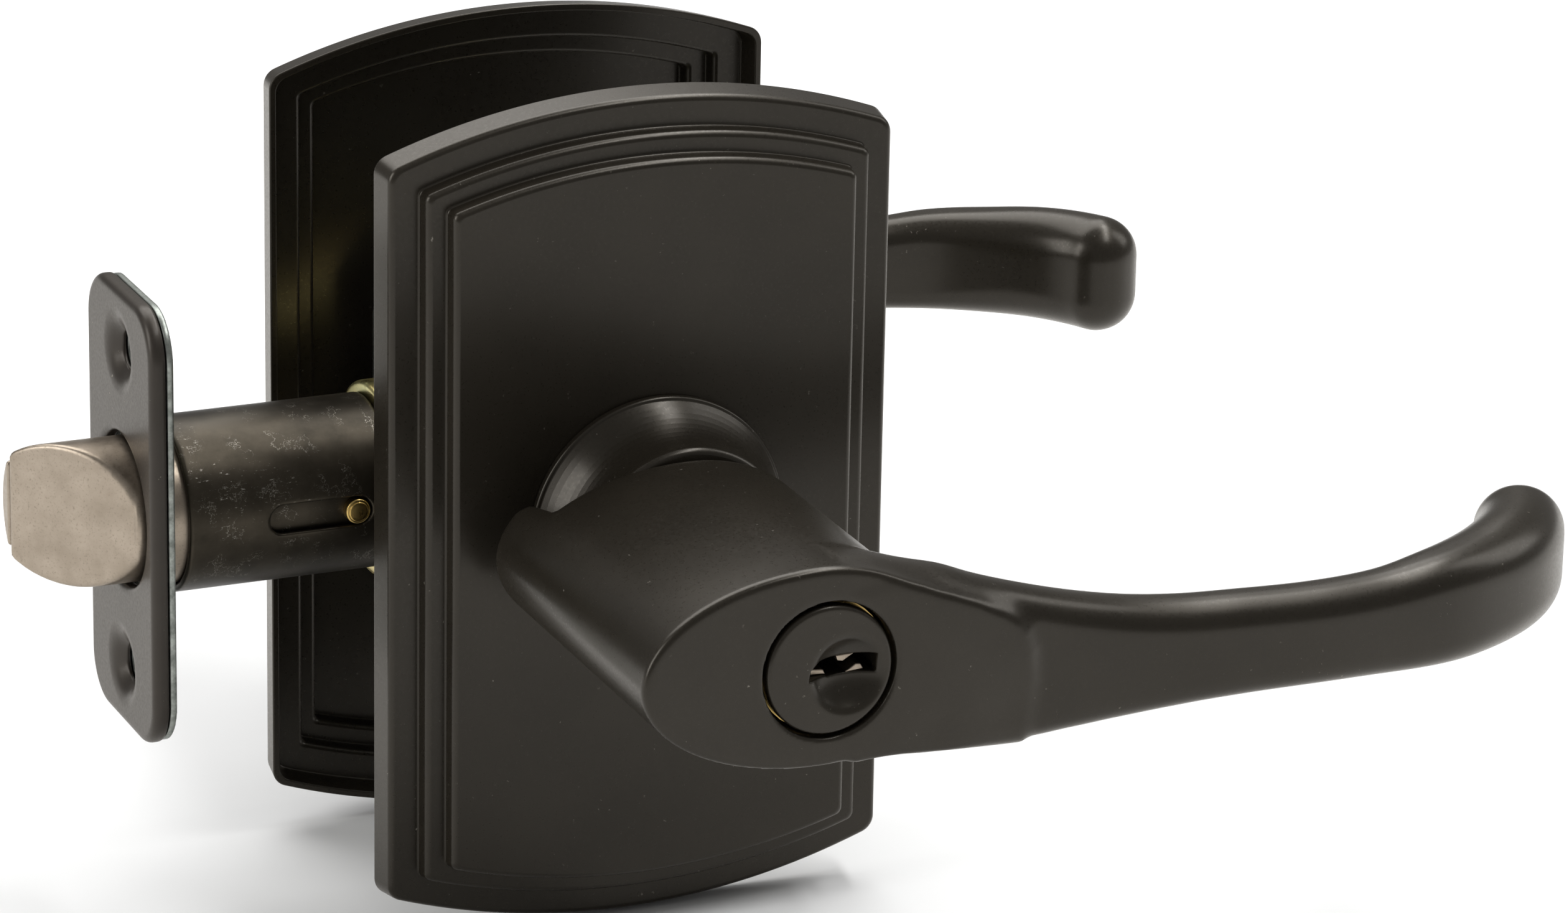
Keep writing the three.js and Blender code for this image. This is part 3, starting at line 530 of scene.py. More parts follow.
# ---- Roses and necks ----
ROSE_FLARE = 0.6  # the rim stands out past the front edge by this much
ROSE_RISE = 6.1
ROSE_HALF_WIDTH = ROSE_HIGH[0] - ROSE_FLARE
ROSE_SIDE_HEIGHT = ROSE_HIGH[2] - ROSE_FLARE - ROSE_RISE
ROSE_LEVELS = (4.3, 6.7, ROSE_HEIGHT)
ROSE_INSETS = (0, 3.9, 6.6)
ROSE_SHEET = 0.9
ROSE_EDGE = 0.85
ROSE_HOLE = NECK_BASE_RADIUS - 2.2
ROSE_CORNER = 2.2


def rose_outline(inset):
    """Points and normals in X and Z of the rose's arch-ended outline, set in from its front edge."""
    radius = (ROSE_HALF_WIDTH**2 + ROSE_RISE**2) / (2 * ROSE_RISE)
    centre = ROSE_SIDE_HEIGHT + ROSE_RISE - radius
    radius -= inset
    half = ROSE_HALF_WIDTH - inset
    corner = ROSE_CORNER - 0.3 * min(inset, 4)
    corner_z = centre + math.sqrt((radius - corner) ** 2 - (half - corner) ** 2)
    meet = math.atan2(corner_z - centre, half - corner)
    upper = []
    for angle in np.linspace(0, meet, 9):
        c, s = math.cos(angle), math.sin(angle)
        upper.append((half - corner + corner * c, corner_z + corner * s, c, s))
    for angle in np.linspace(meet, math.pi / 2, 33)[1:]:
        c, s = math.cos(angle), math.sin(angle)
        upper.append((radius * c, centre + radius * s, c, s))
    upper += [(-x, z, -c, s) for x, z, c, s in reversed(upper[:-1])]
    lower = [(x, -z, c, -s) for x, z, c, s in reversed(upper)]
    return np.array(upper + lower)


def rose_profile():
    """The pressed sheet in section: (inset, height) corners from the rim over the steps and back."""
    front = [(-ROSE_FLARE, 0, 0.2)]
    back = [(-ROSE_FLARE + ROSE_SHEET, 0, 0.2)]
    for i, level in enumerate(ROSE_LEVELS):
        inset = ROSE_INSETS[i]
        if i:
            front.append((inset - 0.1, ROSE_LEVELS[i - 1], 0.3))
            back.append((inset + ROSE_SHEET - 0.1, ROSE_LEVELS[i - 1] - ROSE_SHEET, 0.7))
        front.append((inset, level, ROSE_EDGE))
        back.append((inset + ROSE_SHEET, level - ROSE_SHEET, 0.3))
    return front, back


def rose(side):
    """The pressed rose: its section follows the arched outline and ends in a round hole."""
    front, back = rose_profile()
    middle = 20.0
    hole = [(middle, front[-1][1], 0.15), (middle, back[-1][1], 0.15)]
    section, slopes = fillet(front + hole + back[::-1])
    points, normals = [], []
    for (inset, height), (across, up) in zip(section, slopes):
        round_hole = inset > middle - 5
        x, z, nx, nz = rose_outline(0 if round_hole else inset).T
        if round_hole:
            nx, nz = x / np.hypot(x, z), z / np.hypot(x, z)
            x, z = nx * (ROSE_HOLE + middle - inset), nz * (ROSE_HOLE + middle - inset)
        points.append(np.stack([x, np.full_like(x, height), z], 1))
        normals.append(np.stack([-across * nx, np.full_like(x, up), -across * nz], 1))
    count = len(points[0])
    faces = bridge([(i * count, True) for i in range(len(points))], count, True)
    return on_side((np.concatenate(points), faces, np.concatenate(normals)), side)


def neck(side):
    """Neck with a thin rim at its base, a hollow flare and a rounded lip under the hub."""
    base = ROSE_HEIGHT + 0.15
    shank = NECK_HIGH[1] + FACE
    bore = SPINDLE_RADIUS + 1.4
    lip = NECK_BASE_RADIUS - 3.5
    flare_top = NECK_TOP - 2.0
    flare = []
    for t in np.linspace(0, 1, 12):
        radius = lip - 0.25 + (NECK_BASE_RADIUS - 0.45 - lip + 0.25) * (1 - t) ** 2.1
        flare.append((radius, base + 1.1 + (flare_top - base - 1.1) * t, 0.4))
    shape = revolve([
        (bore, -shank, 0.2),
        (NECK_BASE_RADIUS - 2.6, -shank, 0.2),
        (NECK_BASE_RADIUS - 2.6, base, 0.1),
        (NECK_BASE_RADIUS, base, 0.2),
        (NECK_BASE_RADIUS, base + 1.0, 0.4),
        *flare,
        (lip, flare_top + 0.5, 0.2),
        (lip, NECK_TOP, 0.9),
        (bore, NECK_TOP, 0.3),
    ])
    return on_side(shape, side)


# ---- Levers ----
# Middle line of the arm seen from above, as X and height over the door face.
ARM_LINE = (
    (6, 57.5), (22, 57.8), (40, 57.8), (56, 58.3), (70, 58.2), (84, 56.2),
    (92, 52.9), (98.6, 48.6), (103, 43.8), (106.8, 36.6),
)
# Heights of its top and bottom edges, by X.
ARM_TOP = (
    (7, 11.2), (16, 9.3), (21, 7.4), (27.5, 5.3), (34.5, 3.4), (41.4, 2), (48, 1.25),
    (56, 0.9), (66, 0.6), (76, 0.7), (84, 1.5), (92, 2), (99, 2.6), (107, 2.8),
)
ARM_BOTTOM = (
    (7, -12.5), (26, -13.5), (33, -13.1), (40, -12.6), (53, -11.8), (68, -11.7),
    (82, -12.3), (95, -13.1), (107, -13.9),
)
ARM_HALF_DEPTH = 3.9
ARM_SWELL = 1.85  # added to the half depth toward the arm's full, round end
ARM_SWELL_SPAN = (74, 100)  # X where the swelling begins, and where it is complete
ARM_ROOT = 4.0  # the arm begins inside the hub, at this X
HUB_CENTRE = (-1, 0.3)
HUB_ARM_REACH = 15.5
HUB_HALF_HEIGHT = 12.4
HUB_EDGE = 0.9
CYLINDER_BORE = 8.5
SPINDLE_BORE = 8.2


def hub_outline(x, z, nose):
    """Distance to the hub's oval in X and Z."""
    x0, z0 = HUB_CENTRE
    corners = []
    for angle in np.linspace(0, 2 * math.pi, 120, endpoint=False):
        c, s = math.cos(angle), math.sin(angle)
        reach = HUB_ARM_REACH - x0 if c > 0 else nose + x0
        corners.append((x0 + reach * c, z0 + HUB_HALF_HEIGHT * s))
    return polygon(x, z, corners)


def pad_field(x, height, z):
    """The pad that carries the hub's flat face out to a soft crease at the arm."""
    top = [(4, 8), (8, 8.8), (12, 8.4), (16, 7.2), (19.5, 5.7), (22.8, 3.9), (24.8, 2.3)]
    crease = [(25.8, 1.0), (26.6, -1.4), (26.9, -5), (26.6, -9)]
    bottom = [(26, -12.9), (12, -12.2), (4, -11.6)]
    outline = polygon(x, z, (top + crease + bottom)[::-1])
    # The face leans back toward the crease, the more so low down.
    lean = 0.9 * ease(x, 15, 27) + 1.1 * ease(x, 15, 28) * ease(-z, 0, 10)
    return rounded_meet(outline, between(height, HUB_FRONT - 8.6, HUB_FRONT - lean), HUB_EDGE)


def edge_height(table, x):
    line = curve_points(table)
    return np.interp(x, line[:, 0], line[:, 1])


def arm_field(x, height, z):
    """The arm: a rounded bar along a line seen from above, which bends back toward the door."""
    line = curve_points(ARM_LINE)
    steps = np.diff(line, axis=0)
    lengths = np.hypot(*steps.T)
    run = np.concatenate([[0], np.cumsum(lengths)])
    shape = np.broadcast(x, height).shape
    nearest = np.full(shape, 1e9)
    across = np.zeros(shape)
    along = np.zeros(shape)
    place = np.zeros(shape)
    for i, ((x0, h0), (dx, dh), length) in enumerate(zip(line, steps, lengths)):
        ux, uh = dx / length, dh / length
        t = (x - x0) * ux + (height - h0) * uh
        held = np.clip(t, -1e3 if i == 0 else 0, 1e3 if i == len(steps) - 1 else length)
        away = np.hypot(x - x0 - held * ux, height - h0 - held * uh)
        closer = away < nearest
        nearest = np.where(closer, away, nearest)
        side = (height - h0) * ux - (x - x0) * uh
        across = np.where(closer, side, across)
        along = np.where(closer, run[i] + held - run[-1], along)
        place = np.where(closer, x0 + np.clip(held, 0, length) * ux, place)
    top, bottom = edge_height(ARM_TOP, place), edge_height(ARM_BOTTOM, place)
    middle = (top + bottom) / 2
    half = (top - bottom) / 2
    # The front's top edge is broadly rounded, the back's less so, the bottom ones the least.
    corner = np.where(z > middle, np.where(across > 0, 3.8, 3.3), 2.7)
    # Toward its end the arm swells, and its section turns into a full round.
    swell = ease(place, *ARM_SWELL_SPAN)
    depth = ARM_HALF_DEPTH + ARM_SWELL * swell
    corner = corner + (depth - 0.1 - corner) * swell
    bar = rectangle(across, z - middle, depth, half, corner)
    return np.maximum(rounded_meet(bar, along + 0.1, ARM_HALF_DEPTH + ARM_SWELL - 0.2), ARM_ROOT - x)


def lever_body(x, height, z, nose, heel):
    """Hub, pad and arm of a lever, without its bores."""
    if heel:
        end = HUB_ARM_REACH + 6
        plan = [
            (end, HUB_REAR), (end, HUB_FRONT), (-nose - 4, HUB_FRONT), (-nose - 4, HEEL_REAR),
            (-nose + 3.4, HEEL_REAR), (-nose + 5.2, HEEL_REAR + 1.6), (-nose + 6.2, HUB_REAR),
        ]
        run = polygon(x, height, plan)
        edge = HUB_EDGE + 1.5 * (1 - ease(height, 26, 40))
    else:
        run = between(height, HUB_REAR, HUB_FRONT)
        edge = HUB_EDGE
    column = rounded_meet(hub_outline(x, z, nose), run, edge)
    body = soft_join(column, arm_field(x, height, z), 2.6)
    body = soft_join(body, pad_field(x, height, z), 2.4)
    return rounded_meet(body, height - HUB_FRONT, 0.5)


def outer_lever_field(x, height, z):
    body = lever_body(x, height, z, OUTER_NOSE, True)
    body = soft_cut(body, rod(x, z, height, CYLINDER_BORE, 36, HUB_FRONT + 5, 0), 0.45)
    body = soft_cut(body, block(x, height, z, (-14.2, 36, -3.6), (0, HUB_FRONT - 4, 3.6), 0), 0.3)
    return soft_cut(body, rod(x, z, height, SPINDLE_BORE, HUB_REAR - 9, 38, 0), 0.5)


def inner_lever_field(x, height, z):
    body = lever_body(x, height, z, INNER_NOSE, False)
    body = soft_cut(body, rod(x, z, height, 6.2, HUB_FRONT - 3, HUB_FRONT + 5, 0), 0.45)
    body = soft_cut(body, rod(x, z, height, 3.4, 36, HUB_FRONT, 0), 0.3)
    return soft_cut(body, rod(x, z, height, SPINDLE_BORE, HUB_REAR - 9, 38, 0), 0.5)


def lever(field, nose, rear, side):
    low = (-nose, rear, LEVER_LOW[2])
    high = (LEVER_END, HUB_FRONT, HUB_CENTRE[1] + HUB_HALF_HEIGHT)
    return on_side(net(field, low, high, 0.42), side)


# ---- Key cylinder and turn button ----
PLUG_FACE = -span("cylinder_plug")[0][1] - FACE
PLUG_REAR = -span("cylinder_plug")[1][1] - FACE
PLUG_FACE_RADIUS = 8.05
PLUG_RADIUS = 6.35
DIMPLE_CENTRE = (2.4, -0.8)
DIMPLE_RADIUS = 4.7
KEYWAY_OPENING = [
    (-2.7, -1.15), (-2.4, 0.2), (-1.1, 1.05), (6.2, 1.2), (6.2, -1.15), (0.3, -1.3), (0.0, -1.15),
]
KEYWAY = [
    (-2.9, -0.2), (-2.4, 0.4), (-1.1, 1.3), (1.4, 1.3), (1.7, 0.35), (2.4, 0.2), (4.4, 1.4),
    (6.4, 1.4), (6.4, -1.3), (5.3, -1.3), (4.7, -0.35), (4.1, -0.3), (2.4, -1.4), (0.3, -1.4),
    (-0.1, -0.5), (-1.2, -0.35),
]


def plug_field(x, height, z):
    face = rod(x, z, height, PLUG_FACE_RADIUS, PLUG_FACE - 2.2, PLUG_FACE, 0.6)
    shank = rod(x, z, height, PLUG_RADIUS, PLUG_REAR, PLUG_FACE - 1, 0.3)
    body = np.minimum(face, shank)
    # The dimple is a cap of a ball.
    ball_radius = 6.6
    lift = math.sqrt(ball_radius**2 - DIMPLE_RADIUS**2)
    u, w = x - DIMPLE_CENTRE[0], z - DIMPLE_CENTRE[1]
    ball = np.sqrt(u * u + w * w + (height - PLUG_FACE - lift) ** 2) - ball_radius
    body = soft_cut(body, ball, 0.5)
    opening = np.maximum(polygon(x, z, KEYWAY_OPENING[::-1]), PLUG_REAR + 2 - height)
    return soft_cut(body, opening, 0.15)


def wards_field(x, height, z):
    """The bare metal wards inside the keyway, from a little under the face."""
    room = polygon(x, z, KEYWAY_OPENING[::-1]) + 0.04
    way = polygon(x, z, KEYWAY[::-1])
    section = np.maximum(room, -way)
    return rounded_meet(section, between(height, PLUG_REAR + 2.3, PLUG_FACE - 1.9), 0.08)


def plug():
    low = (-PLUG_FACE_RADIUS, PLUG_REAR, -PLUG_FACE_RADIUS)
    high = (PLUG_FACE_RADIUS, PLUG_FACE, PLUG_FACE_RADIUS)
    return on_side(net(plug_field, low, high, 0.16), -1)


def wards():
    low = (-2.7, PLUG_FACE - 9, -1.2)
    high = (6.2, PLUG_FACE - 1.9, 1.3)
    return on_side(net(lambda x, h, z: np.maximum(wards_field(x, h, z), low[1] - h), low, high, 0.09), -1)


BUTTON_LOW, BUTTON_HIGH = span("turn_button")
SEAT_RADIUS = 5.9
BLADE_HALF_THICKNESS = 1.35
BLADE_DOME = 18.0  # radius of the blade's rounded outer edge


def button_field(x, height, z):
    seat_top = HUB_FRONT + 1.2
    seat = rod(x, z, height, SEAT_RADIUS, BUTTON_LOW[1] - FACE, seat_top, 0.5)
    top = BUTTON_HIGH[1] - FACE
    half = 5.5 - 0.05 * (height - HUB_FRONT)
    dome = np.hypot(x, height - top + BLADE_DOME) - BLADE_DOME
    blade = rounded_meet(rectangle(x, z, half, BLADE_HALF_THICKNESS, 1.1), dome, 0.9)
    blade = np.maximum(blade, HUB_FRONT - 1 - height)
    return soft_join(seat, blade, 1.2)


def button():
    low = (BUTTON_LOW[0], BUTTON_LOW[1] - FACE, BUTTON_LOW[2])
    high = (BUTTON_HIGH[0], BUTTON_HIGH[1] - FACE, BUTTON_HIGH[2])
    return on_side(net(button_field, low, high, 0.2), 1)


# ---- Latch ----
PLATE_LOW, PLATE_HIGH = span("latch_faceplate")
BACK_LOW, BACK_HIGH = span("latch_back_plate")
SLEEVE_LOW, SLEEVE_HIGH = span("latch_sleeve")
TUBE_LOW, TUBE_HIGH = span("latch_tube")
CASE_LOW, CASE_HIGH = span("retractor_case")
PIN_LOW, PIN_HIGH = span("backset_pin")
BOLT_LOW, BOLT_HIGH = span("bolt")
PLUNGER_LOW, PLUNGER_HIGH = span("deadlatch_plunger")
CAM_LOW, CAM_HIGH = span("cam_hub")
RETRACTOR_LOW, RETRACTOR_HIGH = span("retractor")
CAM_RADIUS = CAM_HIGH[0]
PLATE_CORNER = 6.35
SCREW_SPACING = 41.3
SCREW_HOLE = 2.4
COUNTERSINK = 4.5
BOLT_RADIUS = -BOLT_LOW[1]
BOLT_FLAT = BOLT_HIGH[1]
BOLT_HOLE = BOLT_RADIUS + 0.6
SLOPE_TIP_Y = 5.4  # where the bolt's slope starts at its tip, and where it ends at its mouth
SLOPE_MOUTH_Y = -8.3
TAIL_START = -50.0
TAIL_HALF_SIZE = (0.8, 4.0)  # in Y and Z, of the bolt's flat tail
TAIL_WINDOW = (1.4, 4.7)  # half sizes of the retractor's window for the tail
LOBE_PLACE = 3.9  # middle of each pair of cam lobes, along the spindle axis
LOBE_HALF_SIZE = (1.3, 1.2)
BAR_HALF_SIZE = (4.6, 10.0)  # in Y and Z, of the bars at the retractor's ends
BAR_THICKNESS = 1.8
RAIL_HALF_WIDTH = 2.3
RAIL_THICKNESS = 1.7
RAIL_POST_SPAN = (2.0, 3.6)  # in X, of the posts on the rails
PIN_X = (PIN_LOW[0] + PIN_HIGH[0]) / 2
SLOT_START = -44.4
SLOT_HALF = 1.85
TUBE_WALL = 0.9
SLEEVE_WALL = 0.5
CASE_WALL = 1.2
CASE_CORNER = 11.9


def faceplate_field(x, y, z):
    """Plate with soft front edges, the bolt's hole and two countersunk screw holes."""
    outline = rectangle(y, z, PLATE_HIGH[1], PLATE_HIGH[2], PLATE_CORNER)
    front, back = PLATE_LOW[0], PLATE_HIGH[0]
    edge = 0.3 + 0.75 * (1 - ease(x, front + 0.8, back))
    body = rounded_meet(outline, between(x, front, back), edge)
    body = soft_cut(body, disc(y, z, BOLT_HOLE), 0.9)
    for centre in (-SCREW_SPACING / 2, SCREW_SPACING / 2):
        out = np.hypot(y, z - centre)
        slope = (COUNTERSINK - SCREW_HOLE) / 1.5
        cone = (out - COUNTERSINK + (x - front) * slope) / math.hypot(1, slope)
        body = soft_cut(body, np.minimum(cone, out - SCREW_HOLE), 0.7)
    return body


def back_plate_field(x, y, z):
    outline = rectangle(y, z, BACK_HIGH[1], BACK_HIGH[2], PLATE_CORNER)
    body = rounded_meet(outline, between(x, BACK_LOW[0], BACK_HIGH[0]), 0.2)
    body = soft_cut(body, disc(y, z, SLEEVE_HIGH[1] + 0.3), 0.2)
    for centre in (-SCREW_SPACING / 2, SCREW_SPACING / 2):
        body = soft_cut(body, disc(y, z - centre, SCREW_HOLE + 0.4), 0.2)
    return body


def sleeve(start, end, radius, closed):
    """A length of the bolt's sleeve; the closed one has the end wall that the tail runs through."""
    inner = SLEEVE_HIGH[1] - SLEEVE_WALL
    wall = [(inner, end, 0.1)]
    if closed:
        wall = [(inner, end - 1.2, 0.3), (4.9, end - 1.2, 0.2), (4.9, end, 0.2)]
    return revolve([(inner, start, 0.1), *wall, (radius, end, 0.15), (radius, start, 0.15)], "X")


def tube_field(x, y, z):
    """Tube with the slot that the backset pin runs in."""
    body = rod(y, z, x, TUBE_HIGH[1], TUBE_LOW[0], TUBE_HIGH[0], 0.3)
    body = soft_cut(body, disc(y, z, TUBE_HIGH[1] - TUBE_WALL), 0.25)
    middle = (SLOT_START + PIN_X + SLOT_HALF) / 2
    half = (PIN_X + SLOT_HALF - SLOT_START) / 2
    slot = np.maximum(rectangle(x - middle, z, half, SLOT_HALF, SLOT_HALF - 0.01), y + 5)
    return soft_cut(body, slot, 0.25)


def case_field(x, y, z):
    """Nearly round case about the retractor, open at the rear and at the tube's end."""
    half_y, half_z = CASE_HIGH[1], CASE_HIGH[2]
    outside = rectangle(y, z, half_y, half_z, CASE_CORNER)
    inside = outside + CASE_WALL
    body = rounded_meet(outside, between(x, CASE_LOW[0], CASE_HIGH[0]), 0.5)
    body = soft_cut(body, np.maximum(inside, CASE_LOW[0] + CASE_WALL - x), 0.3)
    mouth = np.maximum(disc(y, z, TUBE_HIGH[1] - TUBE_WALL), x - CASE_LOW[0] - 3)
    body = soft_cut(body, mouth, 0.3)
    return soft_cut(body, disc(x, z, KEY_RADIUS + 0.5), 0.3)


def pin():
    tip = -PIN_LOW[1]
    radius = (PIN_HIGH[0] - PIN_LOW[0]) / 2
    points, faces, normals = revolve([
        (0, -PIN_HIGH[1], 0),
        (radius, -PIN_HIGH[1], 0.1),
        (radius, tip - 0.35, 0.25),
        (radius - 0.35, tip - 0.35, 0.05),
        (radius - 0.35, tip - 0.15, 0.12),
        (0, tip, 0),
    ], segments=64)
    points[:, 1] *= -1
    normals[:, 1] *= -1
    points[:, 0] += PIN_X
    return points, faces, normals


def bolt_field(x, y, z):
    """Round bar with a flat side, a slope toward the outside of the door, and a flat tail."""
    tip = BOLT_LOW[0]
    body = rod(y, z, x, BOLT_RADIUS, tip, TAIL_START, 0.5)
    body = rounded_meet(body, y - BOLT_FLAT, 0.5)
    # The slope runs back from the bolt's tip to its mouth in the faceplate.
    start = np.array((tip + 0.6, SLOPE_TIP_Y))
    mouth = np.array((PLATE_LOW[0] - 0.9, SLOPE_MOUTH_Y))
    along = (mouth - start) / np.linalg.norm(mouth - start)
    slope = (x - start[0]) * along[1] - (y - start[1]) * along[0]
    body = rounded_meet(body, np.minimum(slope, mouth[0] - x), 0.6)
    thin, tall = TAIL_HALF_SIZE
    tail = block(x, y, z, (TAIL_START - 1, -thin, -tall), (BOLT_HIGH[0], thin, tall), 0.25)
    return np.minimum(body, tail)


def plunger_field(x, y, z):
    """Deadlatch plunger: the segment of the round bar that the bolt's flat side leaves free."""
    body = rod(y, z, x, BOLT_RADIUS, PLUNGER_LOW[0], PLUNGER_HIGH[0], 0.6)
    body = rounded_meet(body, PLUNGER_LOW[1] - y, 0.2)
    return rounded_meet(body, np.abs(z) - PLUNGER_HIGH[2], 0.4)


def cam_field(x, y, z):
    """Cam hub with two pairs of lobes, which push the retractor's posts."""
    body = rod(x, z, y, CAM_RADIUS, CAM_LOW[1], CAM_HIGH[1], 0.3)
    wide, long = LOBE_HALF_SIZE
    for y0 in (-LOBE_PLACE, LOBE_PLACE):
        low, high = (-wide, y0 - long, CAM_LOW[2]), (wide, y0 + long, CAM_HIGH[2])
        body = soft_join(body, block(x, y, z, low, high, 0.3), 0.6)
    hole = np.maximum(disc(x, z, KEY_RADIUS + 0.3), np.abs(z) - KEY_FLAT - 0.3)
    return soft_cut(body, hole, 0.3)


def retractor_field(x, y, z):
    """Two rails round the cam hub, joined by a bar at each end, with posts for the lobes."""
    start, end = RETRACTOR_LOW[0], RETRACTOR_HIGH[0]
    outer = RETRACTOR_HIGH[2]
    inner = outer - RAIL_THICKNESS
    wide, tall = BAR_HALF_SIZE
    front = block(x, y, z, (start, -wide, -tall), (start + BAR_THICKNESS, wide, tall), 0.3)
    rear = block(x, y, z, (end - BAR_THICKNESS, -wide, -tall), (end, wide, tall), 0.3)
    body = np.minimum(soft_cut(front, rectangle(y, z, *TAIL_WINDOW, 0.3), 0.2), rear)
    up = np.abs(z)
    rail = block(x, y, up, (start, -RAIL_HALF_WIDTH, inner), (end, RAIL_HALF_WIDTH, outer), 0.3)
    post_start, post_end = RAIL_POST_SPAN
    post = block(x, y, up, (post_start, -5, inner), (post_end, 5, inner + 0.9), 0.3)
    return soft_join(body, np.minimum(rail, post), 0.4)


# ---- Mounting plates, spindles and springs ----
SCREW_HEIGHT = 20.6
PLATE_DISC_RADIUS = 25.0
PLATE_DISC_HALF_WIDTH = span("outer_mounting_plate")[1][0]
PLATE_NET_HALF_WIDTH = 19.5  # a round number, as the spindle's is, which fixes the net's cells
STOP_HEIGHT = 6.4
POST_LENGTH = 30.0
POST_RADIUS = 3.4
POST_BORE = 2.0
SPINDLE_START = 0.3 - FACE
SPINDLE_END = -span("outer_spindle")[0][1] - FACE
SPINDLE_NET_END = 35.5
SPINDLE_FLANGE = 12.0
SPINDLE_HOLLOW = 3.4
SPRING_RADIUS = 16.4
SPRING_WIRE = 0.7


def plate_field(x, height, z, bore):
    """Pressed plate with straight sides, two spring stops and the holes for spindle and screws."""
    body = rounded_meet(disc(x, z, PLATE_DISC_RADIUS), np.abs(x) - PLATE_DISC_HALF_WIDTH, 0.6)
    body = rounded_meet(body, between(height, 0, 1.8), 0.3)
    for x0 in (-8, 8):
        stop = block(x, height, z, (x0 - 1.2, 1, -21.6), (x0 + 1.2, STOP_HEIGHT, -19), 0.3)
        body = soft_join(body, stop, 0.6)
    body = soft_cut(body, disc(x, z, SPINDLE_RADIUS + 0.5), 0.3)
    for z0 in (-SCREW_HEIGHT, SCREW_HEIGHT):
        body = soft_cut(body, disc(x, z - z0, bore), 0.2)
    return body


def outer_plate_field(x, height, z):
    body = plate_field(x, height, z, POST_BORE)
    for z0 in (-SCREW_HEIGHT, SCREW_HEIGHT):
        post = rod(x, z - z0, height, POST_RADIUS, -POST_LENGTH, 0.5, 0.4)
        body = soft_join(body, post, 0.8)
        body = soft_cut(body, disc(x, z - z0, POST_BORE), 0.3)
    return body


def inner_plate_field(x, height, z):
    return plate_field(x, height, z, POST_BORE + 0.3)


def mounting_plate(field, depth, side):
    half, radius = PLATE_NET_HALF_WIDTH, PLATE_DISC_RADIUS
    return on_side(net(field, (-half, depth, -radius), (half, STOP_HEIGHT, radius), 0.4), side)


def spindle_field(x, height, z):
    """Tube with the spring driver's flange, and the key with two flats that fills the cam hub."""
    body = rod(x, z, height, SPINDLE_RADIUS, -6.5, SPINDLE_END, 0.4)
    body = soft_join(body, rod(x, z, height, SPINDLE_FLANGE, 2.3, 3.4, 0.3), 0.5)
    key = rod(x, z, height, KEY_RADIUS, SPINDLE_START, 0, 0.3)
    key = rounded_meet(key, np.abs(z) - KEY_FLAT, 0.3)
    body = soft_join(body, key, 0.5)
    body = soft_cut(body, disc(x, z, SPINDLE_HOLLOW), 0.3)
    slot = block(x, height, z, (5.1, 27, -1.8), (9, 34, 1.8), 0.1)
    return soft_cut(body, slot, 0.2)


def coil(radius, wire, start, end, turns, axis):
    """A closed round wire wound from start to end along Y or X, in heights or millimetres."""
    steps = int(turns * 40)
    sides = 12
    rings, normals = [], []
    for i in range(steps + 1):
        angle = 2 * math.pi * turns * i / steps
        out = np.array((math.cos(angle), 0, math.sin(angle)))
        rise = (end - start - 2 * wire) * i / steps
        centre = out * radius + np.array((0, start + wire + rise, 0))
        for k in range(sides):
            c, s = math.cos(2 * math.pi * k / sides), math.sin(2 * math.pi * k / sides)
            normal = out * c + np.array((0, s, 0))
            rings.append(centre + normal * wire)
            normals.append(normal)
    faces = bridge([(i * sides, True) for i in range(steps + 1)], sides, False)
    for first, step in ((0, -1), (steps * sides, 1)):
        ends = range(first, first + sides)[::step]
        faces += [(ends[0], ends[i], ends[i + 1]) for i in range(1, sides - 1)]
    points, normals = np.array(rings), np.array(normals)
    if axis == "X":
        points, normals = points[:, [1, 0, 2]], normals[:, [1, 0, 2]]
    return points, faces, normals


# ---- Assembly ----
def finish_cad_nodes():
    """The small inner CAD nodes that stay visible get the finished materials of their slots."""
    slots = {row["node"]: row["material_slot"] for row in frame["record"]["subparts"]}
    for name, node in frame["nodes"].items():
        for slot in node.material_slots:
            slot.material = MATERIALS[slots[name]]


def build_outside():
    add_piece("outer_rose_shell", rose(-1), "bronze_black", "chassis", "outer_rose")
    add_piece("outer_neck_collar", neck(-1), "bronze_black", "chassis", "outer_neck")
    add_piece("outer_lever_casting", lever(outer_lever_field, OUTER_NOSE, HEEL_REAR, -1),
              "bronze_black", "outer_lever_body", "outer_lever")
    add_piece("cylinder_plug_face", plug(), "bronze_black", "key_plug", "cylinder_plug")
    add_piece("keyway_wards", wards(), "satin_nickel", "key_plug", "cylinder_plug")
    plate = mounting_plate(outer_plate_field, -POST_LENGTH, -1)
    add_piece("outer_plate", plate, "zinc_plate", "chassis", "outer_mounting_plate")


def build_inside():
    add_piece("inner_rose_shell", rose(1), "bronze_black", "chassis", "inner_rose")
    add_piece("inner_neck_collar", neck(1), "bronze_black", "chassis", "inner_neck")
    add_piece("inner_lever_casting", lever(inner_lever_field, INNER_NOSE, HUB_REAR, 1),
              "bronze_black", "inner_lever_body", "inner_lever")
    add_piece("turn_button_knob", button(), "bronze_black", "turn_button_body", "turn_button")
    plate = mounting_plate(inner_plate_field, 0, 1)
    add_piece("inner_plate", plate, "zinc_plate", "chassis", "inner_mounting_plate")


def build_shared():
    """Spindles and return springs, the same on both sides."""
    for side, prefix in ((-1, "outer"), (1, "inner")):
        wide = SPINDLE_FLANGE
        low, high = (-wide, SPINDLE_START, -wide), (wide, SPINDLE_NET_END, wide)
        tube = net(spindle_field, low, high, 0.4)
        add_piece(prefix + "_spindle_tube", on_side(tube, side), "zinc_plate",
                  prefix + "_lever_body", prefix + "_spindle")
        spring = on_side(coil(SPRING_RADIUS, SPRING_WIRE, 3.3, 7.8, 2, "Y"), side)
        add_piece(prefix + "_spring_coil", spring, "spring_steel", "chassis", prefix + "_return_spring")


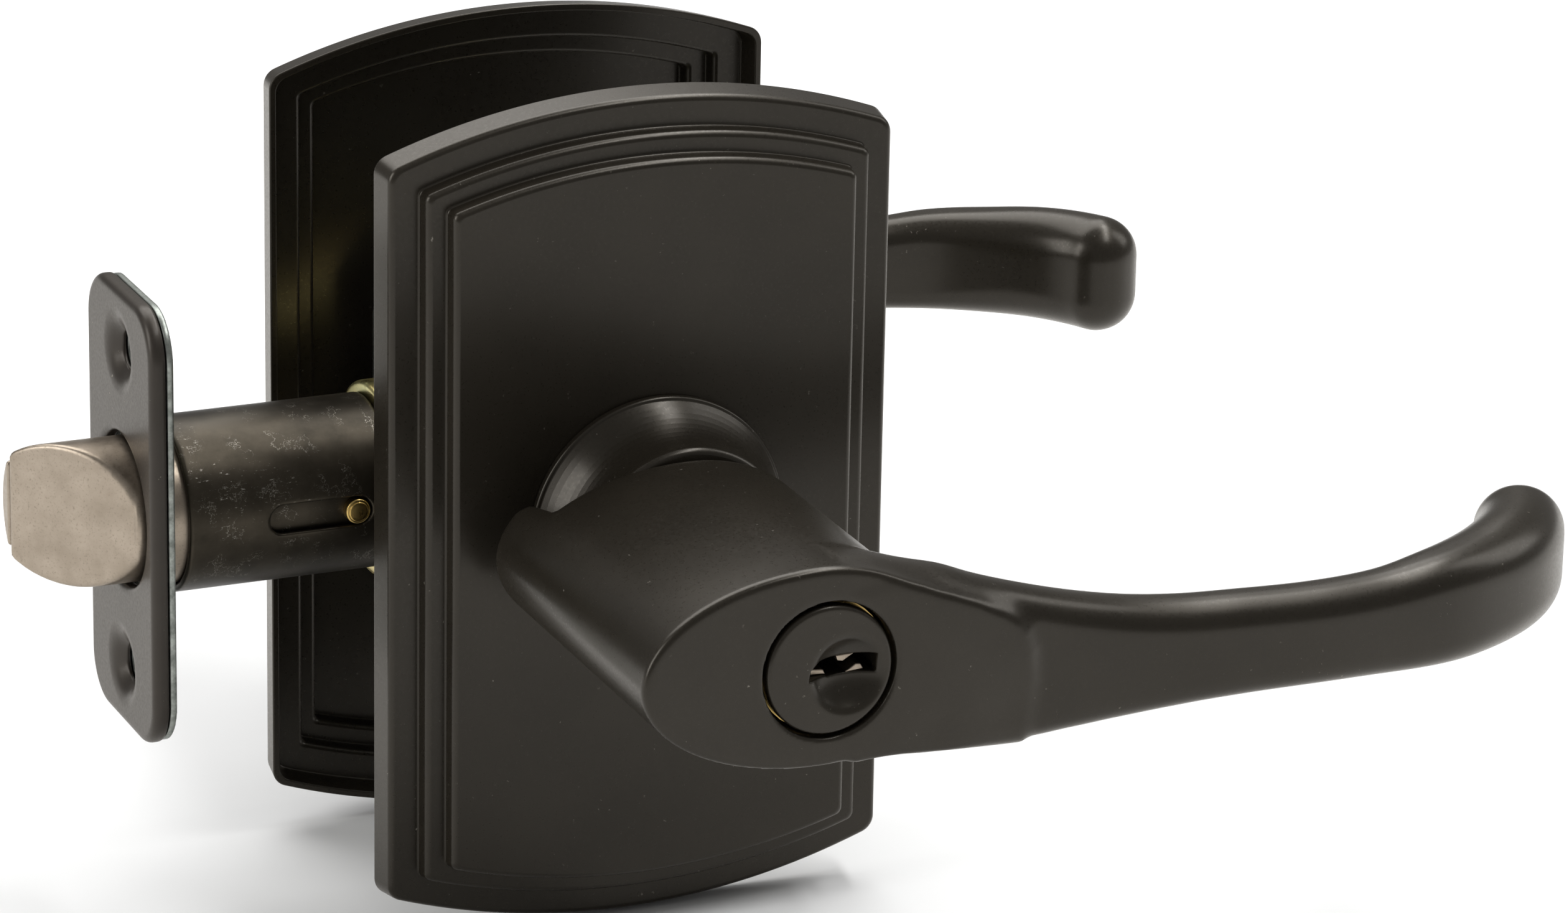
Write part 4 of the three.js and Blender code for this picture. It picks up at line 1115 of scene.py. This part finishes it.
def build_latch():
    plate = net(faceplate_field, PLATE_LOW, PLATE_HIGH, 0.2)
    add_piece("faceplate", plate, "bronze_black_plate", "latch_front", "latch_faceplate")
    plate = net(back_plate_field, BACK_LOW, BACK_HIGH, 0.2)
    add_piece("back_plate", plate, "zinc_plate", "latch_front", "latch_back_plate")
    bare = SLEEVE_LOW[0] + 6.5
    front = sleeve(SLEEVE_LOW[0], bare, SLEEVE_HIGH[1], False)
    add_piece("sleeve_front", front, "satin_nickel", "latch_front", "latch_sleeve")
    rear = sleeve(bare, SLEEVE_HIGH[0], SLEEVE_HIGH[1] - 0.05, True)
    add_piece("sleeve_rear", rear, "dark_steel", "latch_front", "latch_sleeve")
    add_piece("backset_stud", pin(), "brass", "latch_front", "backset_pin")
    spring = coil(5.6, 0.4, span("bolt_spring")[0][0], span("bolt_spring")[1][0], 5, "X")
    add_piece("bolt_spring_coil", spring, "spring_steel", "latch_front", "bolt_spring")
    tube = net(tube_field, TUBE_LOW, TUBE_HIGH, 0.25)
    add_piece("tube", tube, "dark_steel", "chassis", "latch_tube")
    case = net(case_field, CASE_LOW, CASE_HIGH, 0.35)
    add_piece("case", case, "yellow_zinc", "chassis", "retractor_case")
    bar = net(bolt_field, BOLT_LOW, BOLT_HIGH, 0.25)
    add_piece("bolt_bar", bar, "satin_nickel", "bolt_body", "bolt")
    bar = net(plunger_field, PLUNGER_LOW, PLUNGER_HIGH, 0.2)
    add_piece("plunger_bar", bar, "satin_nickel", "deadlatch", "deadlatch_plunger")
    add_piece("cam", net(cam_field, CAM_LOW, CAM_HIGH, 0.35), "zinc_plate", "cam", "cam_hub")
    slide = net(retractor_field, RETRACTOR_LOW, RETRACTOR_HIGH, 0.35)
    add_piece("retractor_slide", slide, "zinc_plate", "retractor_body", "retractor")


# ---- Studio ----
def add_floor():
    mesh = bpy.data.meshes.new("floor")
    size = 4.0
    level = cad_box[0][2] - 0.0002
    corners = [(-size, -size, level), (size, -size, level), (size, size, level), (-size, size, level)]
    mesh.from_pydata(corners, [], [(0, 1, 2, 3)])
    floor = bpy.data.objects.new("floor", mesh)
    bpy.context.scene.collection.objects.link(floor)
    paper = Shader("floor_paper", Roughness=0.9)
    paper.link(paper.mix(paper.noise(30, 3), (0.86, 0.86, 0.855), (0.89, 0.89, 0.885)), "Base Color")
    mesh.materials.append(paper.material)


def add_light(name, place, size, power, color=(1, 1, 1)):
    data = bpy.data.lights.new(name, "AREA")
    data.shape = "RECTANGLE"
    data.size, data.size_y = size
    data.energy = power
    data.color = color
    light = bpy.data.objects.new(name, data)
    light.location = place
    light.rotation_euler = (-Vector(place)).to_track_quat("-Z", "Y").to_euler()
    bpy.context.scene.collection.objects.link(light)


def add_studio():
    add_floor()
    add_light("overhead", (0.0, 0.75, 1.15), (1.6, 0.9), 17)
    add_light("strip", (0.5, -0.1, 1.15), (1.2, 0.2), 9)
    add_light("left", (-1.3, -0.05, 0.55), (0.6, 0.9), 9)
    add_light("right", (1.2, -0.1, 0.8), (0.5, 0.9), 4)
    world = bpy.data.worlds.new("studio")
    world.use_nodes = True
    background = world.node_tree.nodes["Background"]
    background.inputs["Color"].default_value = (1, 1, 1, 1)
    background.inputs["Strength"].default_value = 0.24
    bpy.context.scene.world = world
    bpy.context.scene.view_settings.view_transform = "Standard"


MATERIALS = material_table()
add_camera()
finish_cad_nodes()
build_outside()
build_inside()
build_shared()
build_latch()
add_studio()
